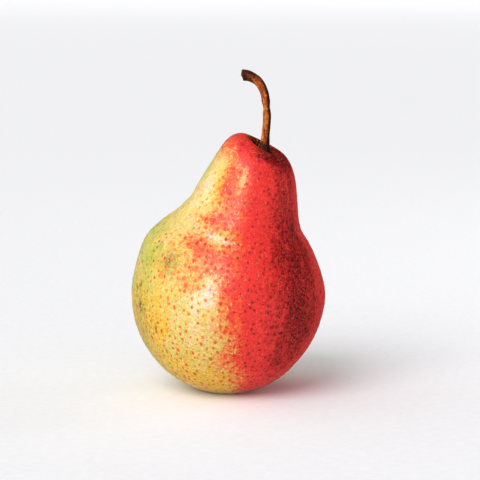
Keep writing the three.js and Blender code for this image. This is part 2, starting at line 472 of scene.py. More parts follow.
class GeometryTree(Graph):
    """A Geometry Nodes tree that is built here, applied once and left as a plain mesh."""

    ports: dict[type, str] = {
        float: "NodeSocketFloat",
        int: "NodeSocketInt",
        Object: "NodeSocketObject",
        Material: "NodeSocketMaterial",
    }

    def __init__(self, name: str, **values: Any) -> None:
        """Makes a tree that takes a geometry and the named inputs and gives a geometry.

        Args:
            name: The tree's name.
            values: The inputs' values, with spaces in their names written as underscores.
        """
        super().__init__(bpy.data.node_groups.new(name, "GeometryNodeTree"))
        interface = self.tree.interface
        for way in ("INPUT", "OUTPUT"):
            interface.new_socket(name="Geometry", in_out=way, socket_type="NodeSocketGeometry")
        self.values = {}
        for label, value in values.items():
            kind = self.ports[type(value)]
            made = interface.new_socket(name=label.replace("_", " "), in_out="INPUT", socket_type=kind)
            self.values[made.identifier] = value
        self.entry = self.node("NodeGroupInput")
        self.exit = self.node("NodeGroupOutput")

    def __getitem__(self, label: str) -> Signal:
        """Returns one of the tree's inputs."""
        return Signal(self, self.entry.outputs[label])

    def here(self) -> Signal:
        """Returns the position of each element."""
        return self.get("GeometryNodeInputPosition")

    def geometry_of(self, label: str) -> Signal:
        """Returns the geometry of an object that the tree has as an input."""
        return self.get("GeometryNodeObjectInfo", None, "Geometry", Object=self[label])

    def random(self, low: Any, high: Any, salt: int) -> Signal:
        """Draws a random number or vector for each element from the tree's Seed.

        Args:
            low: The least value, a number or three.
            high: The greatest.
            salt: A whole number that makes this draw unlike the others.

        Returns:
            The value drawn.
        """
        seed = self["Seed"] + float(salt)
        kind = "FLOAT_VECTOR" if isinstance(low, tuple) else "FLOAT"
        made = self.node("FunctionNodeRandomValue", {"data_type": kind})
        shown = [socket for socket in made.inputs if socket.enabled]
        shown[0].default_value = low
        shown[1].default_value = high
        self.tree.links.new(seed.socket, shown[-1])
        return Signal(self, next(socket for socket in made.outputs if socket.enabled))

    def seeded_noise(self, place: Signal, scale: Any, detail: float) -> Signal:
        """Returns noise from -0.5 to 0.5 that changes with the tree's Seed."""
        inputs = {"Vector": place, "W": self["Seed"], "Scale": scale, "Detail": detail}
        return self.get("ShaderNodeTexNoise", {"noise_dimensions": "4D"}, "Fac", **inputs) - 0.5

    def stored(self, name: str, kind: str = "FLOAT") -> Signal:
        """Returns a named attribute of the geometry."""
        return self.get("GeometryNodeInputNamedAttribute", {"data_type": kind}, Name=name)

    def keep(self, geometry: Signal, name: str, value: Signal, kind: str = "FLOAT") -> Signal:
        """Stores a value on the geometry under a name and returns the geometry."""
        inputs = {"Geometry": geometry, "Name": name, "Value": value}
        return self.get("GeometryNodeStoreNamedAttribute", {"data_type": kind}, **inputs)

    def moved(self, geometry: Signal, **where: Signal) -> Signal:
        """Returns the geometry moved by an Offset or to a Position."""
        return self.get("GeometryNodeSetPosition", Geometry=geometry, **where)

    def placed(self, points: Signal, instance: Signal, turn: Signal, scale: Signal) -> Signal:
        """Puts a copy of a geometry on each point and makes the copies real.

        Args:
            points: The points.
            instance: What is copied.
            turn: How each copy is turned.
            scale: How much each copy is scaled, along each of its axes.

        Returns:
            All the copies as one geometry.
        """
        where = {"Points": points, "Rotation": turn, "Scale": scale}
        copies = self.get("GeometryNodeInstanceOnPoints", Instance=instance, **where)
        return self.get("GeometryNodeRealizeInstances", Geometry=copies)

    def dressed(self, geometry: Signal) -> Signal:
        """Returns the geometry smooth and with the tree's Material."""
        smooth = self.get("GeometryNodeSetShadeSmooth", Geometry=geometry)
        return self.get("GeometryNodeSetMaterial", Geometry=smooth, Material=self["Material"])

    def apply(self, obj: Object, name: str, result: Signal) -> Object:
        """Runs the tree on an object and leaves what it makes as a new plain mesh object.

        Args:
            obj: The object that the tree starts from.
            name: The new object's name.
            result: The geometry that the tree ends in.

        Returns:
            The new object. The first one is left without the modifier.
        """
        self.link(self.exit, i0=result)
        modifier = obj.modifiers.new(self.tree.name, "NODES")
        modifier.node_group = self.tree
        for identifier, value in self.values.items():
            modifier[identifier] = value
        obj.update_tag()
        bpy.context.view_layer.update()
        depsgraph = bpy.context.evaluated_depsgraph_get()
        evaluated = obj.evaluated_get(depsgraph)
        mesh = bpy.data.meshes.new_from_object(evaluated, preserve_all_data_layers=True, depsgraph=depsgraph)
        mesh.name = name
        obj.modifiers.remove(modifier)
        return new_object(name, mesh)


# --- The form of the fruit, as in the frame ---


@dataclass(frozen=True)
class Patch:
    """A soft patch on the fruit: a swelling of its surface, or a dab of one pigment.

    It lies at an azimuth and a height, and fades out `across` degrees and `along` millimetres
    from there. `tilt` makes it climb, in millimetres for each degree.
    """

    azimuth: float
    height: float
    across: float
    along: float
    amount: float
    tilt: float = 0.0

    def on(self, azimuth: Array, height: Array) -> Array:
        """Works out its amount.

        Args:
            azimuth: Azimuths, in radians.
            height: Heights.

        Returns:
            The amount at each.
        """
        turn = np.degrees(azimuth) - self.azimuth
        turn = (turn + 180.0) % 360.0 - 180.0
        rise = height - self.height - self.tilt * turn
        return self.amount * np.exp(-((turn / self.across) ** 2) - (rise / self.along) ** 2)


@dataclass(frozen=True)
class FruitForm:
    """The driving sizes of the fruit: its outline, its leaning axis and its swellings."""

    basin_radius: float = 7.2
    basin_depth: float = 5.5
    basin_roof: float = 4.0
    basin_wall: float = 2.2
    belly_radius: float = 36.0
    belly_height: float = 37.0
    belly_drop: float = 38.2
    belly_pull: float = 6.0
    waist: Pair = (25.2, 62.7)
    waist_slope: float = 133.5
    waist_pulls: Pair = (9.6, 5.8)
    shoulder: Pair = (15.1, 86.0)
    shoulder_slope: float = 124.0
    shoulder_pulls: Pair = (8.0, 7.8)
    crown_height: float = 92.0
    crown_flat: float = 7.5
    straight_to: float = 27.0
    lean_right: float = 12.0
    lean_front: float = 4.5
    # Hump beside the stem, hollow neck, crease under it, full cheek, full base, flatter back.
    swellings: tuple[Patch, ...] = (
        Patch(azimuth=180, height=97, across=70, along=7.2, amount=4.7),
        Patch(azimuth=180, height=76, across=60, along=18, amount=-2.8),
        Patch(azimuth=180, height=69.5, across=35, along=2.4, amount=-0.5),
        Patch(azimuth=180, height=52.5, across=70, along=6.5, amount=1.3),
        Patch(azimuth=190, height=9, across=75, along=8, amount=0.3),
        Patch(azimuth=75, height=44, across=50, along=20, amount=-0.7),
    )
    lobe_count: int = 5
    lobe_turn: float = 20.0
    lobes: Patch = Patch(azimuth=0, height=10, across=ALL_ROUND, along=8, amount=0.35)
    relief_full_from: float = 12.0
    cavity_foot: Triple = (13.6, -5.4, 90.6)
    cavity_under: Triple = (13.3, -5.4, 84.8)
    cavity_reach: float = 4.6
    cavity_depth: float = 2.4
    cavity_fade: Pair = (12.0, 5.0)

    def outline(self, step: float) -> Array:
        """Draws the outline that is turned round the axis, from the basin's roof to the crown.

        Args:
            step: About how far its points are apart.

        Returns:
            The radius and the height of each point.
        """
        floor_angle = math.asin(-self.belly_height / self.belly_drop)
        arc = np.linspace(floor_angle, 0.0, 2 * CURVE_STEPS)
        drop = self.belly_height + self.belly_drop * np.sin(arc)
        under = np.stack([self.belly_radius * np.cos(arc), drop], axis=1)
        roof, rim = (0.0, self.basin_depth), (self.basin_radius, 0.0)
        side, pole = (self.belly_radius, self.belly_height), (0.0, self.crown_height)
        neck, top = self.waist, self.shoulder
        into_neck = away(neck, self.waist_slope, -self.waist_pulls[0])
        from_neck = away(neck, self.waist_slope, self.waist_pulls[1])
        into_top = away(top, self.shoulder_slope, -self.shoulder_pulls[0])
        from_top = away(top, self.shoulder_slope, self.shoulder_pulls[1])
        curves = [
            bezier(roof, away(roof, 0, self.basin_roof), away(rim, 180, self.basin_wall), rim),
            np.array([rim, under[0]]),
            under,
            bezier(side, away(side, 90, self.belly_pull), into_neck, neck),
            bezier(neck, from_neck, into_top, top),
            bezier(top, from_top, away(pole, 0, self.crown_flat), pole),
        ]
        points = [curves[0][:1]]
        for curve in curves:
            length = np.linalg.norm(np.diff(curve, axis=0), axis=1).sum()
            points.append(evenly(curve, max(1, round(length / step)))[1:])
        return np.vstack(points)

    def ribs(self, azimuth: Array) -> Array:
        """Returns 1 on the lobes round the base and -1 between them, at azimuths in radians."""
        return np.cos(self.lobe_count * (azimuth - math.radians(self.lobe_turn)))

    def relief(self, azimuth: Array, height: Array) -> Array:
        """Works out how far the surface stands proud of the turned shape.

        Args:
            azimuth: Azimuths, in radians.
            height: Heights.

        Returns:
            The distance at each.
        """
        lobes = self.ribs(azimuth) * self.lobes.on(azimuth, height)
        return lobes + sum(swelling.on(azimuth, height) for swelling in self.swellings)

    def bend(self, x: Array, y: Array, height: Array) -> Array:
        """Carries points from the straight axis onto the leaning one.

        Args:
            x: How far they are to the right of the axis.
            y: How far they are behind it.
            height: Their heights.

        Returns:
            The points.
        """
        span = self.crown_height - self.straight_to
        share = np.clip((height - self.straight_to) / span, 0.0, None)
        centre = np.stack([self.lean_right * share**2, -self.lean_front * share**2, height], axis=-1)
        rate = 2.0 * share / span
        slope = np.stack([self.lean_right * rate, -self.lean_front * rate, np.ones_like(rate)], axis=-1)
        tangent = unit(slope)
        across = unit(np.array([1.0, 0.0, 0.0]) - tangent * tangent[..., :1])
        return centre + x[..., None] * across + y[..., None] * np.cross(tangent, across)

    def cavity_axis(self) -> tuple[Array, Array]:
        """Returns the point and the downward direction of the stem's foot."""
        foot = np.array(self.cavity_foot)
        return foot, unit(np.array(self.cavity_under) - foot)

    def from_stem(self, points: Array) -> Array:
        """Returns the distance of points from the line of the stem's foot."""
        offset, down = points - self.cavity_foot, self.cavity_axis()[1]
        return np.linalg.norm(offset - (offset @ down)[..., None] * down, axis=-1)

    def on_crown(self, points: Array) -> Array:
        """Returns 1 on the crown and 0 well under it."""
        high, low = self.cavity_fade
        return smoothstep(points[..., 2], self.cavity_foot[2] - high, self.cavity_foot[2] - low)

    def press_cavity(self, points: Array) -> Array:
        """Presses the stem cavity into points of the crown."""
        depth = self.cavity_depth * np.exp(-((self.from_stem(points) / self.cavity_reach) ** 2))
        return points + (depth * self.on_crown(points))[..., None] * self.cavity_axis()[1]


# --- Pigments of the skin ---


class Pigment(Enum):
    """What may colour the skin; each is stored on the mesh as an attribute."""

    BLUSH = "blush"
    # Crimson to maroon: partly the cheek's own colour, partly painted shade where the cheek turns from the
    # light and round the crown.
    DEEP = "deep"
    GOLD = "gold"
    GREEN = "green"
    # Pale cream patches: partly the skin's own paler ground, partly painted highlights.
    PALE = "pale"
    RUSSET = "russet"


@dataclass(frozen=True)
class Blush:
    """The sunny side of the fruit: a wide red cheek with a soft edge at each side."""

    left_heights: tuple[float, ...] = (0, 7, 12, 17, 26, 34, 46, 54, 60, 65, 72, 80, 86, 91)
    left_turns: tuple[float, ...] = (284, 281, 279, 271, 272, 269.5, 268, 268, 272.5, 269, 270, 268, 260, 230)
    left_softness: float = 16.0
    right_edge: float = 395.0
    right_softness: float = 30.0
    back: float = 110.0
    depth: float = 1.3

    def on(self, azimuth: Array, height: Array) -> Array:
        """Works out how sunny the skin is.

        Args:
            azimuth: Azimuths, in radians.
            height: Heights.

        Returns:
            The amount of blush at each.
        """
        turn = np.degrees(azimuth) % 360.0
        turn = np.where(turn < self.back, turn + 360.0, turn)
        left = turn - np.interp(height, self.left_heights, self.left_turns)
        rise = smoothstep(left, -self.left_softness, self.left_softness)
        fall = 1.0 - smoothstep(turn - self.right_edge, -self.right_softness, self.right_softness)
        return self.depth * rise * fall


# Each patch below gives its azimuth, height, reach across, reach along, amount and any tilt.
DABS: dict[Pigment, tuple[Patch, ...]] = {
    Pigment.BLUSH: (
        Patch(247, 57, 18, 3.4, 0.85, tilt=-0.1),
        Patch(250, 50, 13, 4, 0.45),
        Patch(247, 44, 8, 2.5, 0.4),
        Patch(249, 66, 18, 2.8, 0.76),
        Patch(244, 82, 13, 7, 0.8),
        Patch(256, 73, 14, 6, 0.65),
        Patch(264, 60, 6, 3, 0.18, tilt=-0.06),
        Patch(263, 14, 8, 6, 0.3),
        # Clears the blush under the painted highlight on the neck.
        Patch(260, 83, 4, 4, -0.3),
        Patch(265, 42, 6, 3, 0.12),
        Patch(202, 91.5, 54, 5.4, 0.9),
        Patch(110, 93, 60, 7.5, 0.75),
        Patch(226, 47, 9, 7, 0.2),
        Patch(283, 8, 6, 3, -0.2),
        Patch(275, 24, 6, 9, -0.15),
    ),
    # Partly painted shade: the broad patch darkens the right cheek that turns from the light, the patches at
    # the top darken the crown round the stem, and the one near the right edge takes some back where that edge
    # is lit from behind.
    Pigment.DEEP: (
        Patch(317.5, 42, 23, 40, 0.88),
        Patch(333, 61, 13, 8, 0.3),
        Patch(304, 59, 8, 4, 0.3),
        Patch(330, 86, 14, 4, 0.22),
        Patch(322, 5, 30, 8, -0.4),
        Patch(322, 42, 8, 7, -0.1),
        Patch(350, 45, 10, 28, -0.25),
        Patch(328, 80, 24, 12, 0.18),
        Patch(335, 69, 9, 8, 0.04),
        Patch(322, 28, 8, 6, 0.06),
        Patch(306, 14, 12, 6, 0.15),
        Patch(313, 94, 56, 5.5, 1.35),
        Patch(308, 91.4, 36, 1.8, 0.6),
        Patch(190, 94, 50, 4.5, 0.6),
        Patch(35, 91.5, 40, 3.5, 0.85),
    ),
    Pigment.GOLD: (
        # The patch round the base is partly painted shade: a darker, fuller gold on the underside.
        Patch(258, 5, 32, 8, 1.35),
        Patch(206, 30, 24, 14, 1.15),
        Patch(222, 12, 24, 9, 0.6),
        Patch(226, 49, 9, 4, 0.45),
        Patch(225, 27.5, 7, 4, 0.55),
        Patch(240, 80, 9, 10, 0.6),
    ),
    Pigment.GREEN: (
        Patch(183, 50, 24, 13, 0.8),
        Patch(208, 50, 14, 8, 0.55),
        Patch(200, 27, 20, 13, 1.5),
        Patch(193, 43, 12, 5, -0.4),
        Patch(180, 22, 22, 18, 0.8),
        Patch(120, 40, 50, 45, 0.7),
        Patch(226, 12, 22, 7, 0.62),
        Patch(190, 80, 17, 12, 0.65),
        Patch(212, 19, 15, 10, 0.7),
        Patch(201, 13, 10, 5, -0.35),
    ),
    # Painted highlights: the patches on the belly, the thin band at the waist and the small streak on the
    # neck at 260 degrees stand in for gleams of light, and the patch low on the base lightens its shaded
    # underside. The others are the skin's own paler ground.
    Pigment.PALE: (
        Patch(254, 39.5, 12, 6, 0.72),
        Patch(259, 44, 6.5, 6, 1.05),
        Patch(257, 60.8, 20, 1.8, 1.1, tilt=-0.06),
        Patch(250, 32, 18, 9, 0.35),
        Patch(214, 76, 18, 13, 0.5),
        Patch(260, 83, 4, 4, 0.3),
        Patch(226, 71, 10, 7, 0.4),
        Patch(225, 89, 12, 3, 0.6),
        Patch(225, 61, 20, 3, 0.3),
        Patch(184, 74, 11, 12, 0.25),
        Patch(222, 4, 12, 3, 0.9),
    ),
    Pigment.RUSSET: (
        Patch(228, 50, 8.5, 4.6, 0.46),
        Patch(206.6, 40, 0.8, 1.2, 0.95, tilt=0.5),
        Patch(202.7, 38.8, 0.7, 1, 0.9, tilt=0.5),
        Patch(207.8, 33.1, 0.8, 1.3, 1),
        Patch(222.4, 27, 0.7, 1.2, 0.9, tilt=-0.3),
        Patch(203, 26, 18, 12, 0.34),
        Patch(206, 35, 14, 4, 0.16),
        # Painted shade: a dark brownish edge along the crown's left rim.
        Patch(184, 89, 24, 4.5, 0.5),
    ),
}


@dataclass(frozen=True)
class Complexion:
    """Where each pigment lies on the skin."""

    blush: Blush = Blush()
    russet_amount: float = 1.3
    russet_full: float = 0.55
    russet_far: float = 4.5
    # Each tongue: the direction, how wide it is in degrees and how far it goes. The tongues are partly
    # painted shade: they darken the hollow beside the stem, its far wall and the skin just under its foot.
    russet_and_shade_tongues: tuple[Triple, ...] = ((165, 55, 2.6), (118, 38, 6.2), (-84, 22, 4.6), (-35, 30, -0.5))
    russet_rays: tuple[Triple, ...] = ((9, 0.6, 9), (17, 0.5, 17), (26, 0.4, 26))
    crown: Pair = (78.0, 86.0)
    basin: Pair = (3.0, 7.5)
    basin_heights: Pair = (6.0, 9.0)
    blush_from_basin: Pair = (7.0, 17.0)
    underneath: Pair = (2.0, 8.0)
    basin_rags: tuple[Triple, ...] = ((5, 2.0, -math.pi / 2), (9, 1.5, 1.0 - math.pi / 2))

    def round_stem(self, turn: Array, distance: Array) -> Array:
        """Works out the russet round the stem, which runs out in rays and in broad tongues; the tongues also
        paint the shade in the stem's hollow.

        Args:
            turn: The direction of each vertex from the stem's foot, in radians.
            distance: Its distance from the line of the stem's foot.

        Returns:
            The amount of russet.
        """
        far = self.russet_far + waves(turn, self.russet_rays)
        for towards, across, reach in self.russet_and_shade_tongues:
            far = far + reach * np.exp(-((turn_between(turn, towards) / across) ** 2))
        return self.russet_amount * (1.0 - smoothstep(distance / far, self.russet_full, 1.0))

    def amounts(
        self, azimuth: Array, height: Array, radius: Array, turn: Array, distance: Array
    ) -> dict[str, Array]:
        """Works out every pigment.

        Args:
            azimuth: The azimuth of each vertex, in radians.
            height: The height of each vertex on the straight axis.
            radius: Its distance from the straight axis.
            turn: Its direction from the stem's foot, in radians.
            distance: Its distance from the line of the stem's foot.

        Returns:
            The amount of each pigment by the name of its attribute.
        """
        amounts = {}
        for pigment in Pigment:
            amounts[pigment] = sum(dab.on(azimuth, height) for dab in DABS[pigment])
        amounts[Pigment.BLUSH] += self.blush.on(azimuth, height)
        under = 1.0 - smoothstep(height, *self.underneath)
        ragged = radius + waves(azimuth, self.basin_rags)
        amounts[Pigment.BLUSH] *= 1.0 - under * (1.0 - smoothstep(ragged, *self.blush_from_basin))
        on_crown = smoothstep(height, *self.crown) * self.round_stem(turn, distance)
        in_basin = (1.0 - smoothstep(radius, *self.basin)) * (1.0 - smoothstep(height, *self.basin_heights))
        amounts[Pigment.RUSSET] += np.maximum(on_crown, in_basin)
        return {pigment.value: amount for pigment, amount in amounts.items()}


# --- Finishes ---


@dataclass(frozen=True)
class SkinPigments:
    """The colours of the skin, shared by the skin and its lenticels."""

    straw: Colour = srgb(212, 187, 96)
    cream: Colour = srgb(230, 208, 150)
    # Near white, for painted highlights.
    highlight_white: Colour = srgb(222, 208, 196)
    leaf: Colour = srgb(164, 170, 62)
    amber: Colour = srgb(222, 176, 44)
    peach: Colour = srgb(218, 146, 84)
    coral: Colour = srgb(232, 104, 44)
    scarlet: Colour = srgb(230, 50, 46)
    crimson: Colour = srgb(150, 20, 21)
    maroon: Colour = srgb(82, 12, 16)
    rose: Colour = srgb(236, 110, 86)
    freckle: Colour = srgb(226, 158, 84)
    scorch: Colour = srgb(206, 124, 48)
    olive: Colour = srgb(150, 134, 62)
    bark: Colour = srgb(100, 44, 18)
    # Nearly black: dark cork and painted shade in the stem's hollow and the basin.
    dark_russet_and_shade: Colour = srgb(42, 14, 9)
    mottle: float = 8.0
    blotch: float = 2.0
    stipple: float = 0.7
    streak: float = 3.0
    stretch: float = 0.16
    halo: Pair = (1.2, 0.2)

    def group(self) -> bpy.types.NodeTree:
        """Builds the node group that turns the stored pigments into a colour.

        The two numbers in each smooth() are the amounts between which a colour comes in, and
        any two more are its strength at each of them.

        Returns:
            The node group.
        """
        tree = bpy.data.node_groups.new("pear skin pigments", "ShaderNodeTree")
        for output, kind in (("Skin colour", "Color"), ("Blush cover", "Float"), ("Grain", "Float")):
            tree.interface.new_socket(name=output, in_out="OUTPUT", socket_type=f"NodeSocket{kind}")
        graph = Graph(tree)
        place = graph.position()
        mottles = graph.noises(place, self.mottle)
        blotches = graph.noises(place, self.blotch, 3.0, 0.6)
        stipples = graph.noises(place, self.stipple, 2.0, 0.6)
        streaks = graph.noises(place.stretched((1.0, 1.0, self.stretch)), self.streak)
        grain = stipples[0] * 0.8 + blotches[0] * 0.7
        halo = graph.attribute("dot_near").smooth(*self.halo)
        halo = halo * graph.attribute("dot_tone").smooth(0.0, 0.9, 0.3, 1.0)
        plain = {pigment: graph.attribute(pigment.value) for pigment in Pigment}
        bold = graph.attribute("dot_bold")

        uneven = []
        for channel, pigment in enumerate((Pigment.PALE, Pigment.GREEN, Pigment.GOLD)):
            lumps = mottles[channel] * 0.6 + streaks[channel] * 0.5
            lumps = lumps + blotches[channel] * 0.9 + stipples[channel] * 0.4
            if pigment is Pigment.GREEN:
                lumps = lumps * plain[pigment].smooth(0.0, 0.5, 0.4, 1.0)
            uneven.append(lumps + plain[pigment])
        pale, green, gold = uneven
        colour = graph.mix(pale.smooth(0.0, 1.0), self.straw, self.cream)
        colour = colour.into(self.leaf, green.smooth(0.2, 1.05))
        colour = colour.into(self.amber, gold.smooth(0.05, 1.1))
        freckles = graph.flecks(place, 1.25, 0.38, 0.7) * bold.smooth(0.0, 1.0, 0.35, 0.85)
        colour = colour.into(self.freckle, freckles * green.smooth(0.2, 0.8, 1.0, 0.35))
        slant = place.stretched((1.0, 1.0, 0.6))
        scorch = graph.flecks(slant, 1.9, 0.3, 0.6) * bold.smooth(0.4, 1.0, 0.0, 0.8)
        colour = colour.into(self.scorch, scorch)

        blush = plain[Pigment.BLUSH]
        spread = mottles[0] * 0.3 + blush
        wash = blotches[2] * 0.4 + spread
        colour = colour.into(self.peach, wash.smooth(0.0, 0.9, 0.0, 0.75))
        # Painted highlight: the skin turns near white where the pale patches are strongest.
        colour = colour.into(self.highlight_white, pale.smooth(0.8, 1.6))
        spread = spread + grain * 0.7 + halo * blush.smooth(0.0, 0.4, 0.3, 0.6)
        along = place.stretched((1.0, 1.0, 0.5))
        bare = graph.flecks(along, 1.2, 0.36, 0.5) * blush.smooth(1.1, 0.7, 0.0, -0.8)
        cover = (spread + bare).smooth(0.05, 0.85)
        # This pigment carries the cheek's crimson and painted shade.
        deep = plain[Pigment.DEEP]
        redness = deep * 0.6 + blotches[2] * 0.7 + blush + stipples[0] * 0.5 + streaks[0] * 0.4
        red = graph.mix(redness.smooth(0.35, 1.15), self.coral, self.scarlet)
        light = graph.flecks(along, 1.5, 0.32, 0.5) * blush.smooth(0.4, 1.0, 0.0, 0.45)
        red = red.into(self.rose, light)
        deep = deep + blotches[1] * 0.35 + stipples[1] * 0.5 + streaks[1] * 0.3 + halo * 0.3
        red = red.into(self.crimson, deep.smooth(0.1, 1.0))
        dark = stipples[2] * 2.0 + deep.smooth(0.3, 1.3, -0.75, 0.45)
        red = red.into(self.maroon, dark.smooth(-0.1, 0.7))
        specks = graph.flecks(place, 1.0, 0.36, 0.75) * deep.smooth(0.0, 0.7, 0.0, 0.85)
        colour = colour.into(red.into(self.maroon, specks), cover)
        # Light flecks of cream and rose over the skin, with near-white painted highlight flecks where the
        # pale patches are strong.
        shine = cover.smooth(0.0, 1.0, bold.smooth(0.0, 1.0, 0.35, 0.7), 0.35)
        painted_highlight = plain[Pigment.PALE].smooth(0.4, 1.1, 0.0, 0.6)
        glint = graph.mix(painted_highlight, graph.mix(cover, self.cream, self.rose), self.highlight_white)
        colour = colour.into(glint, graph.flecks(place, 0.85, 0.32, 0.65) * (shine + painted_highlight))

        russet = plain[Pigment.RUSSET]
        russet = grain * russet * 1.6 + russet
        tinge = russet.smooth(0.05, 0.45, 0.0, 0.7) * cover.smooth(0.0, 1.0, 1.0, 0.15)
        colour = colour.into(self.olive, tinge)
        crust = graph.mix(cover * 0.5, self.bark, self.maroon)
        colour = colour.into(crust, russet.smooth(0.4, 0.9))
        # Nearly black at the stem's foot and far down in the basin: dark cork and painted shade in these
        # hollows.
        colour = colour.into(self.dark_russet_and_shade, russet.smooth(0.8, 1.4))
        tooth = stipples[1] * bold.smooth(0.3, 1.0, 0.45, 0.6) + 1.0
        graph.node("NodeGroupOutput", Skin_colour=colour.scaled(tooth), Blush_cover=cover, Grain=grain)
        return tree


@dataclass(frozen=True)
class SkinFinish:
    """Thin waxy skin: satin, with a fine peel and a faint waxy dullness in its roughness."""

    roughness: float = 0.36
    grain_size: float = 0.5
    grain_height: float = 0.05
    peel_size: float = 2.4
    peel_height: float = 0.10
    gloss: float = 0.2
    dull_gloss: float = 0.02
    glow: float = 0.10
    glow_depth: float = 1.2
    glow_reaches: Triple = (1.0, 0.35, 0.15)

    def material(self, pigments: bpy.types.NodeTree) -> Material:
        """Makes the skin's material.

        Args:
            pigments: The node group that gives the skin's colour.

        Returns:
            The material.
        """
        coat = Coat(
            "pear skin",
            Specular_IOR_Level=self.gloss,
            Subsurface_Weight=self.glow,
            Subsurface_Radius=self.glow_reaches,
            Subsurface_Scale=self.glow_depth * MM,
        )
        paint = coat.paint(pigments)
        place = coat.position()
        dull = coat.attribute("dull")
        rough = paint["Grain"] * 0.12 + coat.attribute(Pigment.RUSSET.value) * 0.3 + dull * 0.25
        peel = coat.bump(coat.noise(place, self.peel_size, 3.0), self.peel_height)
        return coat.dressed(
            Base_Color=paint["Skin colour"],
            Roughness=rough + self.roughness,
            Specular_IOR_Level=dull.smooth(0.0, 1.0, self.gloss, self.dull_gloss),
            Normal=coat.bump(coat.noise(place, self.grain_size), self.grain_height, Normal=peel),
        )


@dataclass(frozen=True)
class LenticelFinish:
    """Corky dots: orange-brown on the yellow side, maroon or greyish under the blush."""

    on_green: Colour = srgb(132, 112, 40)
    on_yellow: Colour = srgb(222, 124, 40)
    ember: Colour = srgb(184, 62, 34)
    on_orange: Colour = srgb(196, 54, 36)
    on_red: Colour = srgb(152, 30, 32)
    on_dark: Colour = srgb(70, 10, 14)
    corky: Colour = srgb(204, 130, 84)
    rust: Colour = srgb(206, 92, 26)

    def material(self, pigments: bpy.types.NodeTree) -> Material:
        """Makes the lenticels' material, whose rim has the colour of the skin.

        Args:
            pigments: The node group that gives the skin's colour.

        Returns:
            The material.
        """
        coat = Coat("pear lenticels", Specular_IOR_Level=0.2)
        paint = coat.paint(pigments)
        blush = coat.attribute(Pigment.BLUSH.value)
        deep = coat.attribute(Pigment.DEEP.value)
        green = coat.attribute(Pigment.GREEN.value)
        tone = coat.attribute("dot_tone")
        ragged = coat.noise(coat.position(), 0.3, 1.0) - 0.5
        depth = ragged * 0.6 + coat.attribute("dot_depth")
        core = depth.smooth(0.1, 0.75) * tone.smooth(0.0, 0.8, 0.75, 1.0)
        spot = coat.mix(tone.smooth(0.85, 1.0), self.on_yellow, self.ember)
        spot = spot.into(self.on_green, green.smooth(0.15, 0.6))
        spot = spot.into(self.rust, coat.attribute("dot_bold") * tone.smooth(0.1, 0.6, 0.35, 1.0))
        spot = spot.into(self.on_orange, blush.smooth(0.2, 0.6))
        spot = spot.into(self.on_red, blush.smooth(0.7, 1.1))
        spot = spot.into(self.on_dark, deep.smooth(0.25, 0.8, 0.0, 0.9))
        pale = tone.smooth(0.9, 0.97) * blush.smooth(0.6, 1.0, 0.0, 0.8)
        spot = spot.into(self.corky, pale * depth.smooth(0.6, 0.9))
        return coat.dressed(
            Base_Color=paint["Skin colour"].into(spot, core), Roughness=depth.smooth(0.3, 0.8, 0.42, 0.6)
        )


@dataclass(frozen=True)
class BarkFinish:
    """The stem's dry bark: ochre and rusty streaks over brown, with painted light on its front and painted
    shade along both sides, dark and corky at both ends, the dark at its foot partly painted shade where it
    sinks into the cavity.
    """

    gleam: Colour = srgb(230, 158, 76)
    ochre: Colour = srgb(210, 126, 48)
    brown: Colour = srgb(132, 54, 16)
    rust: Colour = srgb(140, 42, 14)
    dark: Colour = srgb(46, 16, 5)
    scar: Colour = srgb(150, 84, 52)
    grain_pull: float = 3.0
    grain_scale: float = 2.6

    def material(self) -> Material:
        """Makes the bark's material, which follows the attributes left by the sweep.

        Returns:
            The material.
        """
        coat = Coat("pear stem bark", Specular_IOR_Level=0.12)
        place = coat.position()
        along = coat.attribute("stem_along")
        grain = coat.grain(coat.attribute("stem_around") * FULL_TURN, along * self.grain_pull)
        inputs = {"Vector": grain, "Scale": self.grain_scale, "Detail": 4.0, "Roughness": 0.6}
        streaks = coat.get("ShaderNodeTexNoise", None, "Fac", **inputs)
        streak = streaks - 0.5
        blotch, speck, _ = coat.noises(place, 0.9, 3.0, 0.6)
        # Painted light and shade: the stored lit share makes the front ochre, with gleams, and the sides
        # brown, then dark.
        tone = streak * 2.3 + coat.attribute("stem_lit") + speck * 0.9
        colour = coat.mix(tone.smooth(0.55, 1.2), self.brown, self.ochre)
        colour = colour.into(self.gleam, tone.smooth(1.2, 1.7))
        rusty = streak * -2.0 + blotch * 0.8 + along.smooth(0.55, 0.75, 0.0, 0.22)
        colour = colour.into(self.rust, rusty.smooth(-0.05, 0.4, 0.0, 0.85))
        colour = colour.into(self.dark, tone.smooth(0.55, 0.0))
        # Darker at both ends; at the foot, where the stem sinks into the cavity, partly painted shade.
        ends = along.smooth(0.74, 0.96, 0.0, 0.95) + along.smooth(0.28, 0.17) + speck * 1.1
        colour = colour.into(self.dark, ends.smooth(0.3, 0.95, 0.0, 0.95))
        torn = speck * 0.02 + along
        colour = colour.into(self.scar, torn.smooth(0.985, 1.0, 0.0, 0.8))
        ridges = coat.bump(streaks, 0.5)
        return coat.dressed(
            Base_Color=colour,
            Roughness=speck.smooth(-0.3, 0.3, 0.6, 0.85),
            Normal=coat.bump(coat.noise(place, 0.35, 3.0), 0.15, Normal=ridges),
        )


